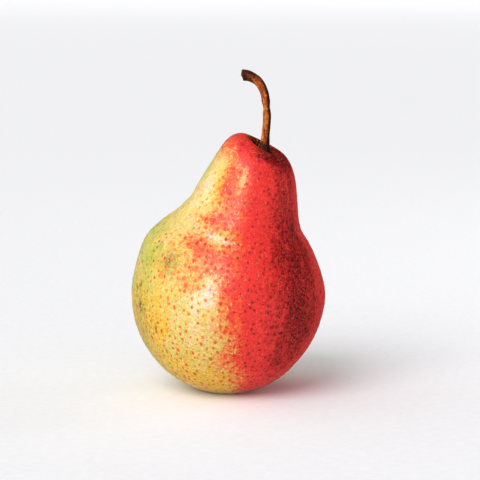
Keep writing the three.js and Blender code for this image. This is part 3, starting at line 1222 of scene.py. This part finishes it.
@dataclass(frozen=True)
class SepalFinish:
    """Dried sepal: dark brown with paler, greyish edges."""

    heart: Colour = srgb(78, 50, 30)
    edge: Colour = srgb(146, 112, 74)
    dark: Colour = srgb(38, 24, 16)

    def material(self) -> Material:
        """Makes the sepals' material.

        Returns:
            The material.
        """
        coat = Coat("pear dried calyx", Specular_IOR_Level=0.25)
        place = coat.position()
        speck = coat.noise(place, 0.5, 3.0, 0.6)
        blotch = coat.noise(place, 2.0)
        rim = coat.attribute("sepal_edge") + (speck - 0.5)
        colour = coat.mix(blotch.smooth(0.35, 0.65), self.dark, self.heart)
        return coat.dressed(
            Base_Color=colour.into(self.edge, rim.smooth(0.4, 1.1)),
            Roughness=speck.smooth(0.3, 0.7, 0.7, 0.92),
            Normal=coat.bump(speck, 0.15),
        )


@dataclass(frozen=True)
class PaperFinish:
    """The plain pale surface under and behind the fruit."""

    colour: Colour = srgb(243, 243, 245)
    dimmer: float = 0.97

    def material(self) -> Material:
        """Makes a matt, faintly toothed white.

        Returns:
            The material.
        """
        coat = Coat("plain paper", Specular_IOR_Level=0.1)
        tooth = coat.noise(coat.position(), 3.0, 3.0)
        dim = tuple(channel * self.dimmer for channel in self.colour)
        colour = coat.mix(tooth.smooth(0.3, 0.7), dim, self.colour)
        return coat.dressed(Base_Color=colour, Roughness=tooth.smooth(0.0, 1.0, 0.85, 0.95))


# --- Skin ---


@dataclass
class Fruit:
    """The skin of the fruit and the lenticels scattered over it."""

    form: FruitForm = field(default_factory=FruitForm)
    complexion: Complexion = field(default_factory=Complexion)
    pigments: SkinPigments = field(default_factory=SkinPigments)
    skin_finish: SkinFinish = field(default_factory=SkinFinish)
    lenticel_finish: LenticelFinish = field(default_factory=LenticelFinish)
    sides: int = 384
    step: float = 0.57
    collar_at: float = 2.5
    collar_width: float = 0.9
    collar_proud: float = 0.12
    collar_creases: tuple[Triple, ...] = ((9, 0.35, 0.0),)
    basin_folds: float = 0.35
    basin_ripples: tuple[Triple, ...] = ((11, 0.4, 1.0),)
    fold_start: Pair = (2.5, 4.5)
    fold_end: float = 5.0
    wave_size: float = 16.0
    wave_height: float = 0.55
    dimple_size: float = 4.5
    dimple_height: float = 0.10
    seed: int = 7
    dot_spacing: float = 1.9
    dot_reach: float = 0.66
    dot_height: float = 0.07
    dot_clearance: float = 0.004
    dot_sides: int = 8
    # Each ring of a dot: its radius and the depth of its cork.
    dot_rings: tuple[Pair, ...] = ((0.55, 0.7), (1.0, 0.0))
    # The most lenticels that are tried on a square metre, before their spacing thins them.
    dot_density: float = 400000.0
    tone_sizes: Pair = (0.65, 1.05)
    blush_size: float = 0.72
    bold_size: float = 1.15
    size_jitter: Pair = (0.75, 1.25)
    stretches: tuple[Triple, Triple] = ((0.75, 1.0, 1.0), (1.05, 1.55, 1.0))
    dots_lost_on_crown: float = 0.5
    dots_lost_on_neck: float = 0.94
    dots_lost_on_green: float = 0.45
    pale_neck: Pair = (188.0, 36.0)
    green_side: Pair = (188.0, 22.0)
    neck_heights: Pair = (70.0, 80.0)
    crown_heights: Pair = (78.0, 90.0)
    pale_heights: Pair = (52.0, 64.0)
    bold_heights: Pair = (16.0, 46.0)
    stem_clear: Pair = (2.0, 5.0)
    dull_reach: Pair = (5.0, 13.0)
    calm_base: Pair = (0.5, 6.0)
    bare_base: Pair = (0.6, 2.0)
    bare_basin: Pair = (6.5, 9.0)
    basin_heights: Pair = (8.0, 12.0)

    def build_surface(self) -> Object:
        """Makes the skin's mesh from the fruit's form, with what its finish needs stored on it.

        Returns:
            The skin, still without its unevenness.
        """
        form = self.form
        outline = form.outline(self.step)
        along = np.gradient(outline, axis=0)
        normal = unit(np.stack([along[:, 1], -along[:, 0]], axis=1))[1:-1]
        azimuth = turns(self.sides)[None, :]
        radius, height = outline[1:-1, :1], outline[1:-1, 1:]
        in_basin = (radius <= form.basin_radius) & (height <= form.basin_depth)
        calm = smoothstep(radius, 0.0, form.crown_flat) * smoothstep(height, 0.0, form.relief_full_from)
        folds = self.basin_folds * (form.ribs(azimuth) + waves(azimuth, self.basin_ripples))
        in_fold = smoothstep(radius, *self.fold_start)
        in_fold = in_fold * (1.0 - smoothstep(radius, self.fold_end, form.basin_radius))
        lift = np.where(in_basin, folds * in_fold, calm * form.relief(azimuth, height))
        out = radius + normal[:, :1] * lift
        up = height + normal[:, 1:] * lift
        grid = form.bend(out * np.cos(azimuth), out * np.sin(azimuth), up)
        poles = form.bend(np.zeros(2), np.zeros(2), outline[[0, -1], 1])
        points = self.raise_collar(form.press_cavity(np.vstack([grid.reshape(-1, 3), poles])))

        rows = len(outline) - 2
        under, over = rows * self.sides, rows * self.sides + 1
        faces = between_rings(rows, self.sides)
        top = fan(over, under - self.sides, self.sides)
        for pair in zip(fan(under, 0, self.sides, under=True), top):
            faces.extend(pair)
        skin = mesh_object("skin_surface", points, faces)
        grids = [np.broadcast_to(values, out.shape).ravel() for values in (azimuth, height, radius)]
        ends = ([0.0, 0.0], outline[[0, -1], 1], [0.0, 0.0])
        self.mark(skin, points, *(np.append(*pair) for pair in zip(grids, ends)))
        return skin

    def mark(self, skin: Object, points: Array, azimuth: Array, height: Array, radius: Array) -> None:
        """Stores on the skin its pigments, and how even, dotted, bold and dull it is.

        Args:
            skin: The skin.
            points: Its vertices.
            azimuth: The azimuth of each vertex, in radians.
            height: The height of each vertex on the straight axis.
            radius: Its distance from the straight axis.
        """
        from_stem = self.form.from_stem(points)
        beside = points - self.form.cavity_axis()[0]
        towards = np.arctan2(beside[:, 1], beside[:, 0])
        for name, values in self.complexion.amounts(azimuth, height, radius, towards, from_stem).items():
            store(skin, name, values)
        on_neck = smoothstep(height, *self.neck_heights)
        off_stem = np.clip(smoothstep(from_stem, *self.stem_clear) + (1.0 - on_neck), 0.0, 1.0)
        store(skin, "calm", smoothstep(height, *self.calm_base) * off_stem)
        pale, green = (
            np.exp(-((turn_between(azimuth, facing) / across) ** 2))
            for facing, across in (self.pale_neck, self.green_side)
        )
        dotting = 1.0 - self.dots_lost_on_crown * smoothstep(height, *self.crown_heights)
        pale = pale * smoothstep(height, *self.pale_heights)
        dotting = dotting * (1.0 - self.dots_lost_on_neck * pale)
        dotting = dotting * (1.0 - self.dots_lost_on_green * green)
        off_basin = smoothstep(radius, *self.bare_basin) + smoothstep(height, *self.basin_heights)
        dotting = dotting * smoothstep(height, *self.bare_base) * np.clip(off_basin, 0.0, 1.0)
        store(skin, "dotting", dotting * off_stem)
        store(skin, "dot_bold", 1.0 - smoothstep(height, *self.bold_heights))
        store(skin, "dull", (1.0 - smoothstep(from_stem, *self.dull_reach)) * on_neck)

    def raise_collar(self, points: Array) -> Array:
        """Swells the lip of flesh that closes round the stem's foot.

        Args:
            points: The skin's vertices.

        Returns:
            The vertices with the lip raised.
        """
        foot, down = self.form.cavity_axis()
        offset = points - foot
        creases = 1.0 + waves(np.arctan2(offset[:, 1], offset[:, 0]), self.collar_creases)
        lip = np.exp(-(((self.form.from_stem(points) - self.collar_at) / self.collar_width) ** 2))
        lift = self.collar_proud * lip * creases * self.form.on_crown(points)
        return points - lift[:, None] * down

    def roughen(self, smooth: Object) -> Object:
        """Gives the skin its gentle unevenness.

        Args:
            smooth: The skin without it.

        Returns:
            The uneven skin, as a new object.
        """
        tree = GeometryTree(
            "skin unevenness",
            Wave_size=self.wave_size * MM,
            Wave_height=self.wave_height * MM,
            Dimple_size=self.dimple_size * MM,
            Dimple_height=self.dimple_height * MM,
            Seed=self.seed,
        )
        swells, dimples = (
            tree.seeded_noise(tree.here(), tree.math("DIVIDE", 1.0, tree[f"{label} size"]), 1.0)
            * tree[f"{label} height"]
            for label in ("Wave", "Dimple")
        )
        lift = (swells + dimples) * tree.stored("calm")
        offset = tree.get("GeometryNodeInputNormal").scaled(lift)
        return tree.apply(smooth, "uneven_skin", tree.moved(tree["Geometry"], Offset=offset))

    def scatter(self, skin: Object) -> Object:
        """Chooses where lenticels lie, never closer than their spacing.

        Args:
            skin: The uneven skin.

        Returns:
            An object with one loose vertex for each lenticel.
        """
        tree = GeometryTree(
            "lenticel sites", Spacing=self.dot_spacing * MM, Density=self.dot_density, Seed=self.seed
        )
        spread = tree.outputs(
            "GeometryNodeDistributePointsOnFaces",
            {"distribute_method": "POISSON", "use_legacy_normal": False},
            Mesh=tree["Geometry"],
            Distance_Min=tree["Spacing"],
            Density_Max=tree["Density"],
            Density_Factor=tree.stored("dotting"),
            Seed=tree["Seed"],
        )
        align = "FunctionNodeAlignRotationToVector"
        turn = tree.get(align, {"axis": "Z"}, Vector=spread["Normal"])
        turn = tree.get(align, {"axis": "Y", "pivot_axis": "Z"}, Rotation=turn, Vector=(0.0, 0.0, 1.0))
        points = tree.keep(spread["Points"], "site_turn", turn, "QUATERNION")
        points = tree.keep(points, "dot_tone", tree.random(0.0, 1.0, 1))
        return tree.apply(skin, "lenticel_sites", tree.get("GeometryNodePointsToVertices", Points=points))

    def near_dots(self, tree: GeometryTree, geometry: Signal, sites: Signal) -> Signal:
        """Stores the distance, in millimetres, to the nearest lenticel, and that one's tone.

        Args:
            tree: The tree to add the nodes to.
            geometry: The geometry that they are stored on.
            sites: The points where lenticels lie.

        Returns:
            The geometry with both attributes.
        """
        here = tree.here()
        to_points = {"target_element": "POINTS"}
        near = tree.get("GeometryNodeProximity", to_points, "Distance", Target=sites, Sample_Position=here)
        kept = tree.keep(geometry, "dot_near", near * (1.0 / MM))
        which = tree.get("GeometryNodeSampleNearest", Geometry=sites, Sample_Position=here)
        tone = tree.stored("dot_tone")
        return tree.keep(
            kept, "dot_tone", tree.get("GeometryNodeSampleIndex", Geometry=sites, Index=which, Value=tone)
        )

    def dot_template(self) -> Object:
        """Makes one flat dot, one millimetre in radius, with the depth of its cork stored.

        Returns:
            The dot.
        """
        points = [np.zeros((1, 3))]
        depth = [1.0]
        for radius, cork in self.dot_rings:
            points.append(ring(radius, turns(self.dot_sides)))
            depth.extend([cork] * self.dot_sides)
        faces = fan(0, 1, self.dot_sides)
        faces.extend(between_rings(len(self.dot_rings), self.dot_sides, 1, level=True))
        dot = mesh_object("dot_template", np.vstack(points), faces)
        store(dot, "dot_depth", np.array(depth))
        return dot

    def lay_dots(self, sites: Object, skin: Object, dot: Object, cork: Material) -> Object:
        """Lays a dot on each site and moulds it to the skin.

        Args:
            sites: Where the dots lie.
            skin: The uneven skin.
            dot: The flat dot.
            cork: The dots' material.

        Returns:
            All the lenticels as one object.
        """
        tree = GeometryTree(
            "lenticels",
            Skin=skin,
            Dot=dot,
            Reach=self.dot_reach,
            Height=self.dot_height * MM,
            Seed=self.seed,
            Material=cork,
        )
        size = tree.stored("dot_tone").smooth(0.0, 1.0, *self.tone_sizes)
        size = size * tree.stored(Pigment.BLUSH.value).smooth(0.3, 1.1, 1.0, self.blush_size)
        size = size * tree.random(*self.size_jitter, 2) * tree["Reach"]
        size = size * tree.stored("dot_bold").smooth(0.0, 1.0, 1.0, self.bold_size)
        stretch = tree.random(*self.stretches, 3)
        points = tree.get("GeometryNodeMeshToPoints", Mesh=tree["Geometry"])
        turn = tree.stored("site_turn", "QUATERNION")
        real = tree.placed(points, tree.geometry_of("Dot"), turn, stretch.scaled(size))
        real = self.near_dots(tree, real, tree["Geometry"])
        surface = {"Mesh": tree.geometry_of("Skin"), "Sample_Position": tree.here()}
        vectors = {"data_type": "FLOAT_VECTOR"}
        place, upright = (
            tree.get("GeometryNodeSampleNearestSurface", vectors, Value=value, **surface)
            for value in (tree.here(), tree.get("GeometryNodeInputNormal"))
        )
        rise = tree.stored("dot_depth").smooth(0.0, 1.0) * tree["Height"] + self.dot_clearance * MM
        moved = tree.moved(real, Position=tree.vector("ADD", place, upright.scaled(rise)))
        return tree.apply(sites, "lenticels", tree.dressed(moved))

    def build(self) -> list[Object]:
        """Makes and dresses the skin and the lenticels, and ties them to the frame.

        Returns:
            The skin and the lenticels.
        """
        paint = self.pigments.group()
        smooth = self.build_surface()
        uneven = self.roughen(smooth)
        sites = self.scatter(uneven)
        halos = GeometryTree("lenticel halos", Sites=sites, Material=self.skin_finish.material(paint))
        near = self.near_dots(halos, halos["Geometry"], halos.geometry_of("Sites"))
        skin = halos.apply(uneven, "skin", halos.dressed(near))
        dot = self.dot_template()
        lenticels = self.lay_dots(sites, skin, dot, self.lenticel_finish.material(paint))
        LOG.info("%d lenticels", len(sites.data.vertices))
        remove(smooth, uneven, sites, dot)
        for piece in (skin, lenticels):
            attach(piece, ROOT)
        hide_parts("fruit")
        return [skin, lenticels]


# --- Stem ---


@dataclass
class Stem:
    """The woody stem: a ridged sweep along its middle line, with a torn scar at its end."""

    finish: BarkFinish = field(default_factory=BarkFinish)
    line: tuple[Triple, ...] = (
        (12.9, -5.4, 84.8),
        (13.35, -5.4, 90.6),
        (13.9, -5.3, 96.6),
        (14.3, -5.1, 102.2),
        (13.95, -4.8, 107.4),
        (12.95, -4.5, 111.7),
        (10.8, -4.2, 115.1),
        (7.65, -4.0, 116.8),
        (4.95, -3.8, 117.15),
    )
    shares: tuple[float, ...] = (0, 0.14, 0.22, 0.3, 0.4, 0.5, 0.555, 0.61, 0.66, 0.74, 0.84, 0.9, 0.96, 1)
    radii: tuple[float, ...] = (2.2, 2.1, 1.7, 1.4, 1.47, 1.46, 1.16, 1.6, 1.52, 1.55, 1.68, 1.82, 2, 1.95)
    softening: int = 7
    steps: int = 220
    sides: int = 64
    ridge_height: float = 0.4
    knot_height: float = 0.55
    grain_pull: float = 2.2
    # How fine the noise is: over the place that follows the stem, and for each metre.
    ridge_scale: float = 2.4
    knot_scale: float = 210.0
    tear: float = 0.9
    tear_from: float = 0.975
    tear_toward: Triple = (1.0, 0.0, 0.3)
    lit_broad: Pair = (0.42, 0.9)
    lit_right: float = -0.3
    lit: Pair = (0.3, 0.95)
    seed: int = 11

    def middle_line(self) -> Object:
        """Makes the stem's middle line as a curve with its radius at each point.

        Returns:
            The curve.
        """
        points = catmull_rom(np.array(self.line), self.steps)
        radius = np.interp(np.linspace(0.0, 1.0, self.steps + 1), self.shares, self.radii)
        kernel = np.hanning(2 * self.softening + 1)
        padded = np.pad(radius, self.softening, mode="edge")
        radius = np.convolve(padded, kernel / kernel.sum(), mode="valid")
        curve = bpy.data.curves.new("stem_line", "CURVE")
        curve.dimensions = "3D"
        curve.twist_mode = "MINIMUM"
        spline = curve.splines.new("POLY")
        spline.points.add(self.steps)
        flat = np.concatenate([points * MM, np.ones((len(points), 1))], axis=1)
        spline.points.foreach_set("co", flat.ravel())
        spline.points.foreach_set("radius", radius * MM)
        return new_object("stem_line", curve)

    def sweep(self, line: Object) -> Object:
        """Sweeps the stem along its line and roughens its bark.

        Args:
            line: The middle line, with its radii.

        Returns:
            The dressed stem.
        """
        tree = GeometryTree(
            "stem sweep",
            Sides=self.sides,
            Ridge_height=self.ridge_height * MM,
            Knot_height=self.knot_height * MM,
            Tear=self.tear * MM,
            Seed=self.seed,
            Material=self.finish.material(),
        )
        share = ("GeometryNodeSplineParameter", None, "Factor")
        rail = tree.keep(tree["Geometry"], "stem_along", tree.get(*share))
        rail = tree.keep(rail, "stem_middle", tree.here(), "FLOAT_VECTOR")
        circle = tree.get("GeometryNodeCurvePrimitiveCircle", Radius=1.0, Resolution=tree["Sides"])
        circle = tree.keep(circle, "stem_around", tree.get(*share))
        ends = {"Fill_Caps": True, "Scale": tree.get("GeometryNodeInputRadius")}
        swept = tree.get("GeometryNodeCurveToMesh", Curve=rail, Profile_Curve=circle, **ends)

        along = tree.stored("stem_along")
        grain = tree.grain(tree.stored("stem_around") * FULL_TURN, along * self.grain_pull)
        spot = tree.here()
        outward = tree.vector("SUBTRACT", spot, tree.stored("stem_middle", "FLOAT_VECTOR"))
        outward = tree.vector("NORMALIZE", outward)
        ridges = tree.seeded_noise(grain, self.ridge_scale, 3.0) * tree["Ridge height"]
        knots = tree.seeded_noise(spot, self.knot_scale, 3.0) * tree["Knot height"]
        right, back, up = outward.parts()
        torn = along.smooth(self.tear_from, 1.0) * up.smooth(0.2, -1.0) * tree["Tear"]
        offset = tree.vector("ADD", outward.scaled(ridges + knots), tree.scaled(self.tear_toward, torn))
        moved = tree.moved(swept, Offset=offset)
        # Painted light and shade: stem_lit is high on the front, turned a little to the left, and low along
        # both sides, lowest on the right.
        broad = right * self.lit_broad[0] + back * self.lit_broad[1]
        sunny = right * self.lit_right + tree.math("ABSOLUTE", broad)
        moved = tree.keep(moved, "stem_lit", sunny.smooth(*self.lit))
        return tree.apply(line, "stem_bark", tree.dressed(moved))

    def build(self) -> list[Object]:
        """Makes and dresses the stem and ties it to the frame.

        Returns:
            The stem, in a list.
        """
        line = self.middle_line()
        bark = self.sweep(line)
        remove(line)
        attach(bark, ROOT)
        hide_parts("stem")
        return [bark]


# --- Calyx ---


@dataclass
class Calyx:
    """Five dried sepals round a shallow cup, with the remains of the stamens in it."""

    finish: SepalFinish = field(default_factory=SepalFinish)
    count: int = 5
    turn: float = 12.0
    rib: tuple[Pair, ...] = ((0.9, 4.1), (2.2, 3.6), (3.3, 2.5), (4.3, 1.0))
    half_width: float = 1.35
    least_width: float = 0.04
    foot_width: float = 0.62
    belly_width: float = 0.55
    taper: float = 3.2
    half_thick: float = 0.16
    edge_thinner: float = 0.75
    tip_thinner: float = 0.6
    hollow: float = 0.35
    ripple: float = 0.10
    turn_jitter: Pair = (-0.12, 0.12)
    tilt_jitter: Pair = (-0.10, 0.10)
    width_jitter: Pair = (0.85, 1.15)
    sepal_steps: tuple[int, int] = (26, 14)
    cup: tuple[Pair, ...] = (
        (0.0, 4.2),
        (1.5, 3.6),
        (2.3, 3.3),
        (2.4, 3.5),
        (1.7, 4.4),
        (1.5, 5.5),
        (0.0, 5.6),
    )
    cup_steps: int = 40
    cup_sides: int = 60
    cup_waves: tuple[Triple, ...] = ((5, 0.05, 0.6), (13, 0.03, -math.pi / 2))
    plain_edge: float = 0.25
    stamens: int = 16
    stamen_sides: int = 6
    stamen_rings: int = 7
    stamen_foot: float = 4.0
    filament: float = 0.11
    filament_taper: float = 0.45
    anther: float = 0.10
    anther_at: float = 0.93
    anther_length: float = 0.09
    stamen_jitter: Pair = (-0.2, 0.2)
    stamen_reach: Pair = (0.5, 1.5)
    stamen_lean: Pair = (-0.5, 0.9)
    stamen_drop: Pair = (1.1, 2.1)
    stamen_sway: Pair = (-0.6, 0.6)
    seed: int = 5

    def sepal(self) -> Object:
        """Makes one sepal in the XZ plane, cupped across and curled along its rib.

        Returns:
            The sepal, with how near its edge each vertex is stored.
        """
        along, across = self.sepal_steps
        rib = catmull_rom(np.array(self.rib), along)
        tangent = unit(np.gradient(rib, axis=0))
        share = np.linspace(0.0, 1.0, along + 1)[:, None]
        place = np.linspace(-1.0, 1.0, across + 1)[None, :]
        width = self.foot_width + self.belly_width * np.sin(0.9 * math.pi * share)
        width = np.maximum(self.half_width * (1.0 - share**self.taper) * width, self.least_width)
        ripple = self.ripple * np.sin(5.0 * math.pi * share + 2.0 * place)
        hollow = (self.hollow * width + ripple) * place**2
        thick = self.half_thick * (1.0 - self.edge_thinner * place**4) * (1.0 - self.tip_thinner * share**4)
        sheets = []
        for rise in (hollow + thick, hollow - thick):
            x = rib[:, :1] - tangent[:, 1:] * rise
            z = rib[:, 1:] + tangent[:, :1] * rise
            sheets.append(np.stack([x, place * width, z], axis=-1).reshape(-1, 3))
        edge = np.maximum(np.abs(place) ** 3, share**4).ravel()

        row, sheet = across + 1, len(edge)
        faces: Faces = []
        for start in range(0, along * row, row):
            for a in range(start, start + across):
                b = a + row
                faces.append((a, b, b + 1, a + 1))
                faces.append((sheet + a, sheet + a + 1, sheet + b + 1, sheet + b))
        last = along * row
        border = [*range(across), *range(across, last + across, row)]
        border += [*range(last + across, last, -1), *range(last, 0, -row)]
        for a, b in zip(border, border[1:] + border[:1]):
            faces.append((sheet + a, sheet + b, b, a))
        obj = mesh_object("sepal_template", np.vstack(sheets), faces)
        store(obj, "sepal_edge", np.tile(edge, 2))
        return obj

    def set_round(self, sepal: Object, material: Material) -> Object:
        """Sets the sepals round the cup, each a little different.

        Args:
            sepal: The one sepal.
            material: Their material.

        Returns:
            All the sepals as one object.
        """
        tree = GeometryTree(
            "sepal ring", Count=self.count, Turn=math.radians(self.turn), Seed=self.seed, Material=material
        )
        spots = tree.get("GeometryNodePoints", Count=tree["Count"])
        step = tree.math("DIVIDE", FULL_TURN, tree["Count"])
        angle = tree.get("GeometryNodeInputIndex") * step + tree["Turn"] + tree.random(*self.turn_jitter, 1)
        turn = tree.get("ShaderNodeCombineXYZ", X=tree.random(*self.tilt_jitter, 2), Z=angle)
        scale = tree.get("ShaderNodeCombineXYZ", X=1.0, Y=tree.random(*self.width_jitter, 4), Z=1.0)
        real = tree.placed(spots, tree["Geometry"], turn, scale)
        return tree.apply(sepal, "calyx_sepals", tree.dressed(real))

    def build_cup(self) -> Object:
        """Makes the cup that the sepals grow from, set into the basin's roof.

        Returns:
            The cup.
        """
        outline = catmull_rom(np.array(self.cup), self.cup_steps)
        turn = turns(self.cup_sides)
        wobble = 1.0 + waves(turn, self.cup_waves)
        rings = [ring(max(radius, 0.0) * wobble, turn, height) for radius, height in outline[1:-1]]
        poles = [[0.0, 0.0, height] for height in outline[[0, -1], 1]]
        count = len(rings) * self.cup_sides
        faces = between_rings(len(rings), self.cup_sides, 1)
        faces.extend(fan(0, 1, self.cup_sides, under=True))
        faces.extend(fan(count + 1, count + 1 - self.cup_sides, self.cup_sides))
        return mesh_object("calyx_cup", np.vstack([poles[:1], *rings, poles[1:]]), faces)

    def build_stamens(self) -> Object:
        """Makes the withered stamens: short bent filaments that stand in the cup.

        Returns:
            All of them as one object.
        """
        draw = np.random.default_rng(self.seed)
        sides, rings = self.stamen_sides, self.stamen_rings
        share = np.linspace(0.0, 1.0, rings)
        anther = np.exp(-(((share - self.anther_at) / self.anther_length) ** 2))
        radii = self.filament * (1.0 - self.filament_taper * share) + self.anther * anther
        points: list[Array] = []
        faces: Faces = []
        for i in range(self.stamens):
            turn = FULL_TURN * i / self.stamens + draw.uniform(*self.stamen_jitter)
            ranges = (self.stamen_reach, self.stamen_lean, self.stamen_drop, self.stamen_sway)
            foot, lean, drop, sway = (draw.uniform(*limits) for limits in ranges)
            centres = ring(foot + lean * share**1.6, turn + sway * share**2, self.stamen_foot - drop * share)
            points.extend(centre + ring(radius, turns(sides)) for centre, radius in zip(centres, radii))
            first = i * rings * sides
            last = first + (rings - 1) * sides
            faces.extend(between_rings(rings, sides, first, level=True))
            faces.append(tuple(range(first, first + sides)))
            faces.append(tuple(range(last + sides - 1, last - 1, -1)))
        return mesh_object("calyx_stamens", np.vstack(points), faces)

    def build(self) -> list[Object]:
        """Makes and dresses the calyx and ties it to the frame.

        Returns:
            The sepals, the cup and the stamens.
        """
        material = self.finish.material()
        template = self.sepal()
        sepals = self.set_round(template, material)
        remove(template)
        pieces = [sepals, self.build_cup(), self.build_stamens()]
        for piece in pieces[1:]:
            store(piece, "sepal_edge", np.full(len(piece.data.vertices), self.plain_edge))
            piece.data.materials.append(material)
        for piece in pieces:
            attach(piece, ROOT)
        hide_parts("calyx")
        return pieces


# --- Studio ---


class Effect(Enum):
    """What a light is for."""

    BOTH = "body colour and gloss"
    BODY = "body colour only"
    GLOSS = "gloss only"


@dataclass(frozen=True)
class Softbox:
    """A rectangular light near the fruit, or a wide far one when it has a spread."""

    name: str
    azimuth: float
    elevation: float
    power: float
    size: Pair = (0.0, 0.0)
    spread: float = 0.0
    effect: Effect = Effect.BOTH


@dataclass
class Studio:
    """Floor, soft lights and camera."""

    paper: PaperFinish = field(default_factory=PaperFinish)
    target: Triple = (4.5, 0.0, 56.1)
    elevation: float = 8.0
    distance: float = 666.0
    lens: float = 135.0
    sensor: float = 36.0
    light_distance: float = 800.0
    lights: tuple[Softbox, ...] = (
        Softbox("key", azimuth=-32, elevation=40, power=1.95, spread=42),
        Softbox("front", azimuth=-9, elevation=31, power=2.7, size=(100, 175), effect=Effect.GLOSS),
        Softbox("rim", azimuth=112, elevation=14, power=1.1, size=(110, 400), effect=Effect.BODY),
    )
    sky: Pair = (0.05, 1.15)
    sky_toward: Triple = (-0.9, -0.5, 0.0)
    # Each ring of the floor: its radius and its height.
    floor_rings: tuple[Pair, ...] = (
        (300.0, 0.0),
        (1500.0, 0.0),
        (9000.0, 0.0),
        (10000.0, 60.0),
        (11000.0, 300.0),
        (12000.0, 900.0),
        (12600.0, 2000.0),
    )
    floor_sides: int = 96

    def aim(self, obj: Object, azimuth: float, elevation: float, distance: float) -> None:
        """Puts an object on a sphere round the fruit and points it at the middle.

        Args:
            obj: The light or camera.
            azimuth: Degrees to the right of the front.
            elevation: Degrees over the horizon.
            distance: Millimetres from the target.
        """
        turn, rise = math.radians(azimuth), math.radians(elevation)
        level = math.cos(rise)
        direction = Vector((math.sin(turn) * level, -math.cos(turn) * level, math.sin(rise)))
        obj.location = (Vector(self.target) + direction * distance) * MM
        obj.rotation_euler = direction.to_track_quat("Z", "Y").to_euler()

    def build_camera(self) -> None:
        """Makes the camera at the viewing angle."""
        data = bpy.data.cameras.new("camera")
        data.lens = self.lens
        data.sensor_width = self.sensor
        data.clip_start = 0.01
        camera = new_object("camera", data)
        self.aim(camera, 0.0, self.elevation, self.distance)
        bpy.context.scene.camera = camera

    def build_lights(self) -> None:
        """Makes the lights and the soft light all round, brightest towards the front left."""
        for box in self.lights:
            data = bpy.data.lights.new(box.name, "SUN" if box.spread else "AREA")
            if box.spread:
                data.angle = math.radians(box.spread)
            else:
                data.shape = "RECTANGLE"
                data.size = box.size[0] * MM
                data.size_y = box.size[1] * MM
            data.energy = box.power
            lamp = new_object(box.name, data)
            lamp.visible_glossy = box.effect is not Effect.BODY
            lamp.visible_diffuse = box.effect is not Effect.GLOSS
            self.aim(lamp, box.azimuth, box.elevation, self.light_distance)
        world = bpy.data.worlds.new("studio")
        world.use_nodes = True
        graph = Graph(world.node_tree)
        look = graph.get("ShaderNodeTexCoord", None, "Generated")
        toward = tuple(Vector(self.sky_toward).normalized())
        facing = graph.get("ShaderNodeVectorMath", {"operation": "DOT_PRODUCT"}, "Value", i0=look, i1=toward)
        strength = facing.smooth(-1.0, 1.0, *self.sky)
        graph.link(world.node_tree.nodes["Background"], Strength=strength, Color=(1.0, 1.0, 1.0, 1.0))
        bpy.context.scene.world = world

    def build_floor(self) -> None:
        """Makes the floor: a wide flat disc whose far edge turns up all round."""
        turn = turns(self.floor_sides)
        rings = [ring(radius, turn, height) for radius, height in self.floor_rings]
        faces = fan(0, 1, self.floor_sides)
        faces.extend(between_rings(len(rings), self.floor_sides, 1, level=True))
        floor = mesh_object("floor", np.vstack([np.zeros((1, 3)), *rings]), faces)
        floor.data.materials.append(self.paper.material())
        floor.visible_glossy = False

    def build(self) -> None:
        """Makes everything that stands round the fruit."""
        self.build_camera()
        self.build_lights()
        self.build_floor()
        view = bpy.context.scene.view_settings
        view.view_transform = "Standard"
        view.look = "None"
        view.exposure = 0.0


# --- The pear ---


def main() -> None:
    """Builds the studio and the pear."""
    logging.basicConfig(level=logging.INFO, format="%(name)s: %(message)s")
    Studio().build()
    builders: list[Callable[[], list[Object]]] = [Fruit().build, Stem().build, Calyx().build]
    for build in builders:
        for piece in build():
            LOG.info("%s: %d faces", piece.name, len(piece.data.polygons))


if __name__ == "__main__":
    main()
